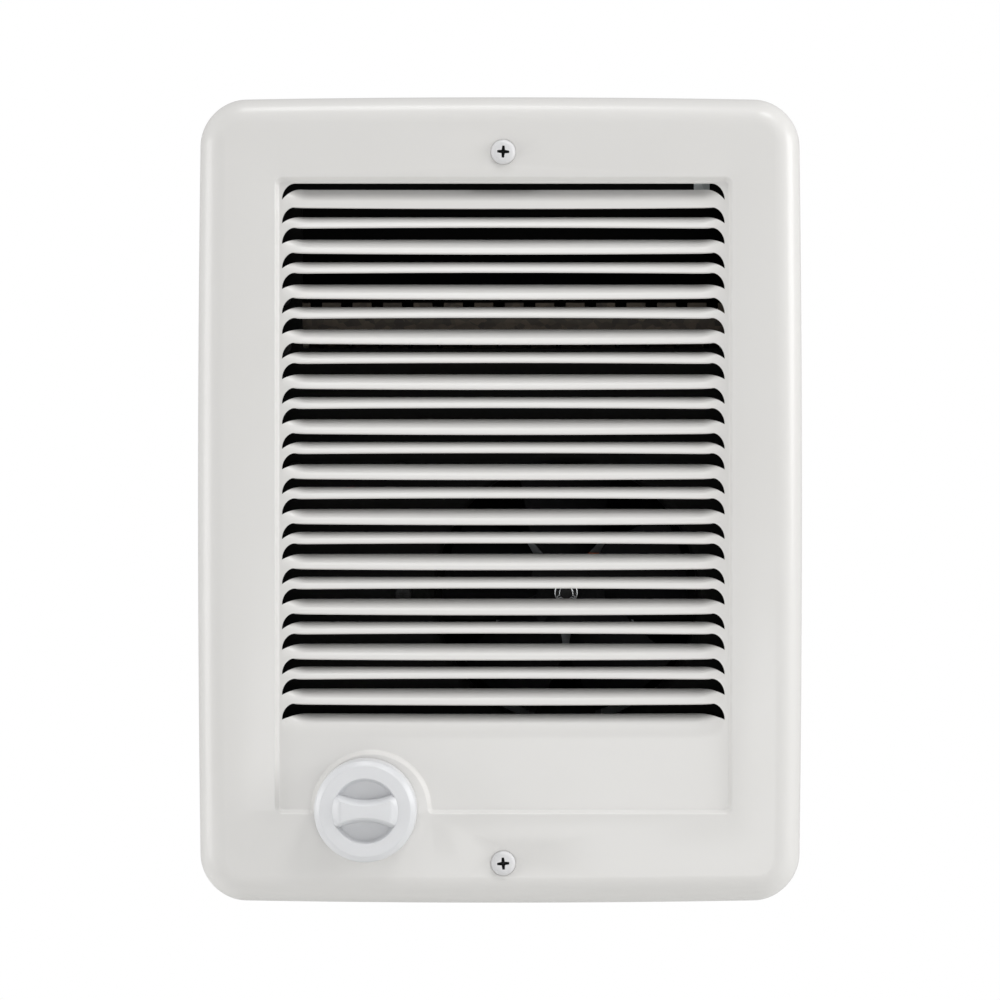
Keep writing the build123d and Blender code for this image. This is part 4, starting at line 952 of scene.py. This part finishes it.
    def slat_point(self, k: int, x: float, t: float) -> tuple[float, float]:
        """Depth and height on slat k at x, t of the way from its front edge to its free edge.

        Args:
            k: Number of the slat, from the top.
            x: Where along it.
            t: Share of the way up it.

        Returns:
            Depth and height.
        """
        foot = self.line(k + 1, x)
        tall = self.line(k, x) - foot
        last = k == self.slots - 1
        first = k == 0
        near = max(0.0, min(x - self.slot_left, self.slot_right - x))
        flat = (self.tip(k) - self.line(k + 1, self.slot_left)) * t
        leans = self.lip_lean if last else self.first_lean if first else self.lean
        lean0, lean1 = (math.radians(a) for a in leans)
        lean = lean0 + (lean1 - lean0) * t
        up = (math.sin(lean) - math.sin(lean0)) / (math.sin(lean1) - math.sin(lean0))
        back = (math.cos(lean0) - math.cos(lean)) / (math.cos(lean0) - math.cos(lean1))
        high = self.lip_rise if last else (self.first_rise if first else self.rise) * tall
        deep = self.lip_inward if last else self.inward * (1.0 if first else tall / self.pitch)
        reach = self.lip_reach if last else self.reach
        lift = 1 - (1 - min(1.0, near / reach)) ** 2.0
        fold = ease(near / (reach + self.fold_extra))
        return self.panel_y + deep * back * fold, foot + flat * (1 - lift) + high * up * lift

    def tooth_point(self, k: int, x: float, t: float) -> tuple[float, float]:
        """Depth and height on the flat corner piece that rounds off slot k.

        Args:
            k: Number of the slot, from the top.
            x: Where along it.
            t: Share of the way up the piece.

        Returns:
            Depth and height.
        """
        near = max(0.0, min(x - self.slot_left, self.slot_right - x))
        top = self.line(k, x)
        over = min(1.0, max(0.0, (self.arc_w - near) / self.arc_w))
        low = self.tip(k) + self.arc_h * math.sqrt(max(0.0, 1 - over * over))
        if near >= self.arc_w - 1e-6:
            low = top
        return self.panel_y, low + (top - low) * t

    def louvres(self, bm: Shape) -> None:
        """Weaves the margin, the slats and the corner pieces of every slot.

        Args:
            bm: The mesh.
        """
        xs = self.columns()
        above = self.slot_top + self.top_margin
        below = self.lip_foot - self.lip_margin
        self.weave(bm, xs, 1, lambda x, t: (self.panel_y, self.line(0, x) * (1 - t) + t * above))
        self.weave(
            bm, xs, 1, lambda x, t: (self.panel_y, below * (1 - t) + t * self.line(self.slots, x))
        )
        corner = [x for x in xs if x - self.slot_left <= self.arc_w + 1e-6]
        other = [x for x in xs if self.slot_right - x <= self.arc_w + 1e-6]
        for k in range(self.slots):
            self.weave(bm, xs, self.slat_rows, lambda x, t, k=k: self.slat_point(k, x, t))
            for part in (corner, other):
                self.weave(bm, part, self.tooth_rows, lambda x, t, k=k: self.tooth_point(k, x, t))

    def panel_rim(self, bm: Shape) -> list[Any]:
        """The open edges that bound the flat part of the sunk panel.

        Args:
            bm: The mesh.

        Returns:
            The edges.
        """
        top = self.slot_top + self.top_margin - 0.01
        foot = self.lip_foot - self.lip_margin + 0.02
        keep = []
        for e in bm.edges:
            a, b = (v.co for v in e.verts)
            mid = (a + b) / 2
            level = abs(a.y - self.panel_y) <= LEVEL and abs(b.y - self.panel_y) <= LEVEL
            beside = not (self.slot_left - 0.2 < mid.x < self.slot_right + 0.2)
            if len(e.link_faces) == 1 and level and (beside or mid.z > top or mid.z < foot):
                keep.append(e)
        return keep


# ---------------------------------------------------------------- screws and knob


@dataclass
class GrilleScrews:
    """Two pan-head screws with a cross recess, in millimetres."""

    spots: tuple[tuple[float, float], ...] = ((1.2, 130.8), (1.2, -136.5))
    turns: tuple[float, ...] = (-3.0, 4.0)
    seat_y: float = -18.4
    head_r: float = 4.6
    head_h: float = 2.3
    span: float = 2.25
    arm: float = 0.42
    root: float = 0.62
    deep: float = 1.7
    taper: float = 0.42
    shank_r: float = 2.05
    shank: float = 16.0
    sides: int = 48

    def build(self) -> bpy.types.Object:
        """Makes both screws as one piece.

        Returns:
            The finished pair, with a dark second finish in the recesses that paints their shade.
        """
        bm = bmesh.new()
        for (x, z), turn in zip(self.spots, self.turns):
            self.head(bm, x, z, turn)
        face_out(bm)
        made = Piece(
            "grille_screw_pair", WHITE_ENAMEL, "heater", "grille_screws", "white_screw",
            RECESS_SHADE_STEEL,
        ).make(bm)
        soften(made, 0.12, 2, 40.0)
        return made

    def head(self, bm: Shape, x: float, z: float, turn: float) -> None:
        """Draws one screw: shank, domed head, and the recess pressed into its flat top.

        Args:
            bm: The mesh that takes the screw.
            x: Where its axis is.
            z: Where its axis is.
            turn: How far it has been screwed round, in degrees.
        """
        top = self.seat_y - self.head_h
        r = self.head_r
        one = bmesh.new()
        profile = [
            (0.0, self.seat_y + self.shank), (self.shank_r - 1.0, self.seat_y + self.shank - 1.2),
            (self.shank_r, self.seat_y + self.shank - 3.5), (self.shank_r, self.seat_y),
            (r - 0.1, self.seat_y), (r, self.seat_y - 0.5), (r - 0.1, self.seat_y - 1.2),
            (r - 0.45, self.seat_y - 1.75), (r - 1.05, self.seat_y - 2.12), (r - 1.75, top),
        ]
        lathe(one, profile, x, z, self.sides)
        cross = []
        for quarter in range(4):
            a = math.radians(turn + 90 * quarter)
            along = Vector((math.cos(a), 0, math.sin(a)))
            side = Vector((-math.sin(a), 0, math.cos(a)))
            centre = Vector((x, top, z))
            corners = (self.root, -self.root), (self.span, -self.arm), (self.span, self.arm)
            for out, off in corners:
                cross.append(one.verts.new(centre + along * out + side * off))
        slot = one.faces.new(cross)
        rim = [
            e for e in one.edges
            if all(abs(v.co.y - top) < 1e-4 for v in e.verts) and len(e.link_faces) == 1
        ]
        bmesh.ops.triangle_fill(one, edges=rim, use_beauty=True, use_dissolve=False, normal=FRONT)
        stacked = [
            f for f in one.faces
            if f is not slot and all(v in cross for v in f.verts) and len(f.verts) == 3
        ]
        bmesh.ops.delete(one, geom=stacked, context="FACES_ONLY")
        sunk = bmesh.ops.extrude_discrete_faces(one, faces=[slot])["faces"][0]
        hub = Vector((x, top + self.deep, z))
        for v in sunk.verts:
            v.co = hub + (v.co - Vector((x, top, z))) * self.taper
        # The recess floor takes the dark second finish: painted shade.
        sunk.material_index = 1
        bmesh.ops.remove_doubles(one, verts=one.verts, dist=1e-5)
        skirt = [e for e in one.edges if len(e.link_faces) == 1]
        if skirt:
            bmesh.ops.bridge_loops(one, edges=skirt)
        # The recess walls take the dark second finish too: painted shade.
        for f in one.faces:
            mid = f.calc_center_median()
            out = (mid - Vector((x, mid.y, z))).length
            if top + 0.05 < mid.y < top + self.deep + 0.01 and out < self.span:
                f.material_index = 1
        mesh = bpy.data.meshes.new("screw")
        one.to_mesh(mesh)
        one.free()
        bm.from_mesh(mesh)
        bpy.data.meshes.remove(mesh)


@dataclass
class ControlKnob:
    """The thermostat knob: a skirted disc, a round pocket and a grip bar across it."""

    x: float = -50.3
    z: float = -116.1
    radius: float = 19.25
    back: float = -19.6
    front: float = -33.1
    face: float = -31.3
    pocket_r: float = 12.2
    pocket_y: float = -26.8
    skin: float = 1.8
    hub_r: float = 6.8
    sleeve_r: float = 5.0
    sleeve_end: float = -15.0
    socket_r: float = 3.2
    socket_end: float = -23.4
    sides: int = 96
    flat_half: float = 9.4
    flat_share: float = 0.75
    bar_mid: float = 2.1
    bar_end: float = 4.0
    flare: float = 0.7
    shoulder: float = 1.75
    draft: float = 0.5

    def build(self) -> bpy.types.Object:
        """Makes the knob.

        Returns:
            The finished knob, which rides on the control's own body.
        """
        bm = bmesh.new()
        r, p = self.radius, self.pocket_r
        profile = [
            (0.0, self.pocket_y), (p - 2.4, self.pocket_y), (p - 1.3, self.pocket_y - 0.3),
            (p - 0.75, self.pocket_y - 1.0), (p - 0.45, self.pocket_y - 2.4),
            (p - 0.25, self.face + 0.9), (p - 0.05, self.face + 0.3),
            (p + 0.2, self.face), (p + 0.5, self.face),
            (r - 2.6, self.face), (r - 2.35, self.face), (r - 2.15, self.face + 0.12),
            (r - 1.9, self.face + 0.3), (r - 0.85, self.face + 1.2), (r - 0.55, self.face + 1.5),
            (r - 0.25, self.face + 2.0), (r - 0.08, self.face + 2.8), (r, self.back),
            (r - self.skin, self.back), (r - self.skin, self.face + 3.4),
            (p + self.skin, self.face + 3.2), (p + self.skin, self.pocket_y + 1.6),
            (self.hub_r, self.pocket_y + 1.6), (self.hub_r, self.back),
            (self.sleeve_r, self.back), (self.sleeve_r, self.sleeve_end),
            (self.socket_r, self.sleeve_end), (self.socket_r, self.socket_end),
            (0.0, self.socket_end),
        ]
        lathe(bm, profile, self.x, self.z, self.sides)
        self.bar(bm)
        face_out(bm)
        made = Piece(
            "control_knob_cap", KNOB_ABS, "control_knob", "thermostat_knob", "knob_plastic"
        ).make(bm, sharp=55.0)
        soften(made, 0.16, 3, 36.0)
        return made

    def bar(self, bm: Shape) -> None:
        """Draws the grip: a waisted flat top, ends that slope to the ring and drafted sides.

        Args:
            bm: The mesh.
        """
        grid = bmesh.ops.create_grid(bm, x_segments=32, y_segments=4, size=1.0)["verts"]
        end_r = self.pocket_r + 0.35
        for v in grid:
            u, w = v.co.x, v.co.y
            along = min(1.0, abs(u) / self.flat_share)
            half = self.bar_mid + (self.bar_end - self.bar_mid) * along**2
            past = max(0.0, (abs(u) - self.flat_share) / (1 - self.flat_share))
            half += self.flare * past
            side = w * half
            end_x = math.sqrt(end_r**2 - side**2)
            x = self.flat_half * along + (end_x - self.flat_half) * past
            fall = (self.face - self.front + 0.15) * past
            v.co = Vector((self.x + math.copysign(x, u), self.front + fall, self.z + side))
        skin = list({f for v in grid for f in v.link_faces})
        drops = (
            (self.shoulder, self.face - self.front - 0.1),
            (self.draft, self.pocket_y - self.face + 0.5),
        )
        for out, down in drops:
            grown = bmesh.ops.extrude_face_region(bm, geom=skin)
            base = verts_in(grown["geom"])
            skin = [g for g in grown["geom"] if isinstance(g, bmesh.types.BMFace)]
            for v in base:
                off = v.co.z - self.z
                share = min(1.0, abs(off) / self.bar_mid)
                v.co.z += math.copysign(out * share, off)
                v.co.y += down * (1.0 if abs(v.co.x - self.x) < self.flat_half + 0.01 else 0.9)


# ---------------------------------------------------------------- the wall box


def borrowed(node: str) -> Shape:
    """Copies a frame node's mesh, in millimetres, joined up and with its flats cleaned.

    Args:
        node: Name of the frame's node.

    Returns:
        The copy.
    """
    bm = bmesh.new()
    bm.from_mesh(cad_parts[node].data)
    bmesh.ops.scale(bm, vec=(1 / MM, 1 / MM, 1 / MM), verts=bm.verts)
    bmesh.ops.remove_doubles(bm, verts=bm.verts, dist=0.001)
    bmesh.ops.dissolve_limit(
        bm, angle_limit=math.radians(0.5), verts=bm.verts, edges=bm.edges,
        use_dissolve_boundaries=False,
    )
    return bm


@dataclass
class WallBox:
    """The folded box that is nailed into the wall. It is zinc outside; black lacquer inside paints
    the shade of the box.
    """

    half_w: float = 101.6
    deep: float = 101.6
    mid_z: float = -2.85
    half_h: float = 127.0
    flange: float = 1.0
    margin: float = 0.5

    def build(self) -> bpy.types.Object:
        """Makes the box from the frame's own shape.

        Returns:
            The finished box, with black lacquer as its second finish, which paints the shade
            inside.
        """
        bm = borrowed("wall_can")
        wide, high = self.half_w - self.margin, self.half_h - self.margin
        heart = Vector((0, self.deep / 2, self.mid_z))
        for f in bm.faces:
            c = f.calc_center_median()
            between = self.flange <= c.y <= self.deep - self.margin
            within = abs(c.x) < wide and abs(c.z - self.mid_z) < high
            # Faces that look into the box take the black lacquer: painted shade.
            if between and within and f.normal.dot(c - heart) < 0:
                f.material_index = 1
        made = Piece(
            "folded_wall_box", GALVANISED, "heater", "wall_can", "galvanised", SHADE_BLACK_LACQUER
        ).make(bm)
        soften(made, 0.25, 2, 30.0)
        return made


# ---------------------------------------------------------------- the element


@dataclass
class MicaRail:
    """The front mica board of the element, with the open notches that carry the ribbon."""

    first: float = -70.55
    pitch: float = 11.7
    notches: int = 14
    cut_half: float = 1.0
    open_half: float = 2.2
    floor_z: float = 69.9
    top_z: float = 74.0
    crest_z: float = 75.8
    slack: float = 0.3

    def build(self) -> bpy.types.Object:
        """Makes the board, its tabs standing a little higher and its notches opened out.

        Returns:
            The finished board.
        """
        bm = borrowed("element_rail_front")
        for v in bm.verts:
            if v.co.z < self.floor_z:
                continue
            k = round((v.co.x - self.first) / self.pitch)
            off = v.co.x - (self.first + self.pitch * k)
            if 0 <= k < self.notches and abs(off) < self.cut_half + self.slack:
                v.co.x += math.copysign(self.open_half - self.cut_half, off)
            if v.co.z > self.top_z - 0.2:
                v.co.z = self.crest_z
        made = Piece("notched_mica_board", MICA, "heater", "element_rail_front", "mica").make(bm)
        soften(made, 0.15, 1, 40.0)
        return made


# ---------------------------------------------------------------- the high limit


@dataclass
class ResetSpring:
    """The coil under the reset button. The real coil closes up as the button is pressed; here it
    keeps the frame's shape.
    """

    travel: float = 1.5
    joint: str = "reset_press"

    def build(self) -> bpy.types.Object:
        """Makes the spring from the frame's own shape, on a mesh of its own.

        Returns:
            The finished spring.
        """
        bm = borrowed("limit_spring")
        made = Piece(
            "reset_return_spring", SPRING_STEEL, "heater", "limit_spring", "spring_steel"
        ).make(bm)
        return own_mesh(made)


# ---------------------------------------------------------------- the fan


@dataclass
class ShaftClip:
    """The push-on clip at the fan's nose: black oxide that paints the shade round it, with its
    punched rims rubbed bright.
    """

    front: float = 11.5
    rim: float = 0.3

    def build(self) -> bpy.types.Object:
        """Makes the clip from the frame's own shape.

        Returns:
            The finished clip, with ground steel as its second finish.
        """
        bm = borrowed("fan_clip")
        face_out(bm)
        nose = [
            f for f in bm.faces
            if f.normal.y < -0.9 and abs(f.calc_center_median().y - self.front) < 0.05
        ]
        rims = bmesh.ops.inset_region(
            bm, faces=nose, thickness=self.rim, use_boundary=True, use_even_offset=True
        )["faces"]
        for f in rims:
            f.material_index = 1
        return Piece(
            "push_on_shaft_clip", SHADE_BLACK_OXIDE, "fan_rotor", "fan_clip", "spring_steel", GROUND_STEEL
        ).make(bm)


# ---------------------------------------------------------------- the frame's own pieces


DRESS: dict[Finish, tuple[str, ...]] = {
    SPRING_STEEL: ("speed_nuts", "knob_spring"),
    GREEN_ZINC: ("ground_screw",),
    # Painted shade: black lacquer on the parts deep in the heater.
    SHADE_BLACK_LACQUER: (
        "heater_deck", "element_bracket_left", "element_bracket_right", "motor_strap",
        "limit_bracket",
    ),
    # Painted shade: black oxide on the steel behind the louvres.
    SHADE_BLACK_OXIDE: (
        "deck_screws", "element_screws", "strap_screws", "bearing_bracket_front", "rotor_shaft",
        "fan_hub", "limit_screws",
    ),
    MICA: ("element_rail_rear",),
    NICHROME: ("element_ribbon_upper", "element_ribbon_lower"),
    STEATITE: ("element_bushings",),
    TINNED_BRASS: (
        "element_terminals", "element_link", "motor_terminals", "thermostat_bushing",
        "thermostat_terminals", "limit_terminals",
    ),
    LAMINATED_CORE: ("stator_core", "rotor"),
    BLACK_PHENOLIC: ("coil_bobbin", "thermostat_case"),
    COIL_TAPE: ("coil_winding",),
    ENAMELLED_COPPER: ("shading_rings",),
    DIE_CAST_ZINC: ("bearing_bracket_rear",),
    SINTERED_BRONZE: ("bearing_front", "bearing_rear"),
    ZINC_PLATE: ("motor_screws", "motor_nuts", "thermostat_nut"),
    FIBRE: ("thrust_washers", "thermostat_cover"),
    # Painted shade: black dip on the fan.
    SHADE_BLACK_DIPPED: ("fan_blades",),
    GROUND_STEEL: ("thermostat_spindle",),
    BIMETAL: ("thermostat_bimetal",),
    BROWN_PHENOLIC: ("limit_body",),
    ALUMINIUM: ("limit_cap",),
    RED_NYLON: ("limit_button",),
    SLEEVE_NYLON: ("push_on_connectors",),
    BLACK_PVC: ("lead_line", "lead_thermostat_limit"),
    RED_PVC: ("lead_limit_element", "lead_motor_line"),
    WHITE_PVC: ("lead_motor_neutral", "lead_neutral"),
}


def dress_frame() -> None:
    """Gives each of the frame's own pieces that stay in sight its finish."""
    for finish, names in DRESS.items():
        for name in names:
            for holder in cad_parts[name].material_slots:
                holder.material = finish.material()
            LOG.info("%s: finished as %s", name, finish.name)


# ---------------------------------------------------------------- the studio


@dataclass
class Studio:
    """A pale floor, soft light from above and both sides, and the camera. Sizes in metres.

    Each soft box has its name, its place, its width and its power.
    """

    distance: float = 1.42
    lens: float = 134.2
    sensor: float = 36.0
    floor_z: float = -0.30
    floor_mid: float = -0.85
    floor_half: float = 1.6
    dome: float = 0.49
    boxes: tuple[tuple[str, Point, float, float], ...] = (
        ("key", (0.7, -0.8, 1.45), 0.5, 6.5),
        ("top", (-0.1, -0.4, 1.5), 0.5, 4.3),
        ("side", (1.5, -0.35, 0.35), 0.8, 9.3),
        ("fill", (-1.5, -0.25, 0.05), 0.9, 7.6),
        ("low", (0.1, -1.2, -0.27), 0.4, 2.0),
    )

    def build(self) -> None:
        """Sets up floor, light and camera."""
        self.floor()
        for box in self.boxes:
            self.light(*box)
        self.surround()
        self.camera()

    def floor(self) -> None:
        """Lays the floor sheet."""
        bm = bmesh.new()
        bmesh.ops.create_grid(
            bm, x_segments=12, y_segments=12, size=self.floor_half,
            matrix=Matrix.Translation((0, self.floor_mid, self.floor_z)),
        )
        mesh = bpy.data.meshes.new("studio_floor")
        bm.to_mesh(mesh)
        bm.free()
        sheet = bpy.data.objects.new("studio_floor", mesh)
        bpy.context.scene.collection.objects.link(sheet)
        mesh.materials.append(STUDIO_PAPER.material())

    def light(self, name: str, spot: Point, size: float, power: float) -> None:
        """Hangs one soft box aimed at the heater.

        Args:
            name: What it is called.
            spot: Where it hangs.
            size: How wide it is.
            power: Its power in watts.
        """
        lamp = bpy.data.lights.new(name, "AREA")
        lamp.shape = "DISK"
        lamp.size = size
        lamp.energy = power
        held = bpy.data.objects.new(name, lamp)
        held.location = spot
        held.rotation_euler = Vector(spot).to_track_quat("Z", "Y").to_euler()
        bpy.context.scene.collection.objects.link(held)

    def surround(self) -> None:
        """Surrounds the set with a white room that lights less than it shows."""
        world = bpy.data.worlds.new("white_room")
        bpy.context.scene.world = world
        world.use_nodes = True
        tree = world.node_tree
        tree.nodes.clear()
        seen = add_node(tree, "ShaderNodeLightPath").outputs["Is Camera Ray"]
        strength = add_node(
            tree, "ShaderNodeMapRange",
            values={"To Min": self.dome, "To Max": 1.0},
            links={"Value": seen},
        )
        glow = add_node(
            tree, "ShaderNodeBackground",
            values={"Color": (1.0, 1.0, 1.0, 1.0)},
            links={"Strength": strength.outputs[0]},
        )
        add_node(tree, "ShaderNodeOutputWorld", links={"Surface": glow.outputs[0]})
        bpy.context.scene.view_settings.view_transform = "Standard"

    def camera(self) -> None:
        """Stands the camera square to the grille's middle."""
        lens = bpy.data.cameras.new("camera")
        lens.lens = self.lens
        lens.sensor_width = self.sensor
        lens.clip_start = 0.05
        held = bpy.data.objects.new("camera", lens)
        held.location = (0.0, -self.distance, 0.0)
        held.rotation_euler = (math.radians(90), 0, 0)
        bpy.context.scene.collection.objects.link(held)
        bpy.context.scene.camera = held


# ---------------------------------------------------------------- assembly


def main() -> None:
    """Builds every piece in order."""
    logging.basicConfig(level=logging.INFO, format="%(name)s: %(message)s")
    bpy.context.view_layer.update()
    for part in (
        Studio, PressedGrille, GrilleScrews, ControlKnob, WallBox, MicaRail, ResetSpring, ShaftClip,
    ):
        part().build()
    dress_frame()


if __name__ == "__main__":
    main()
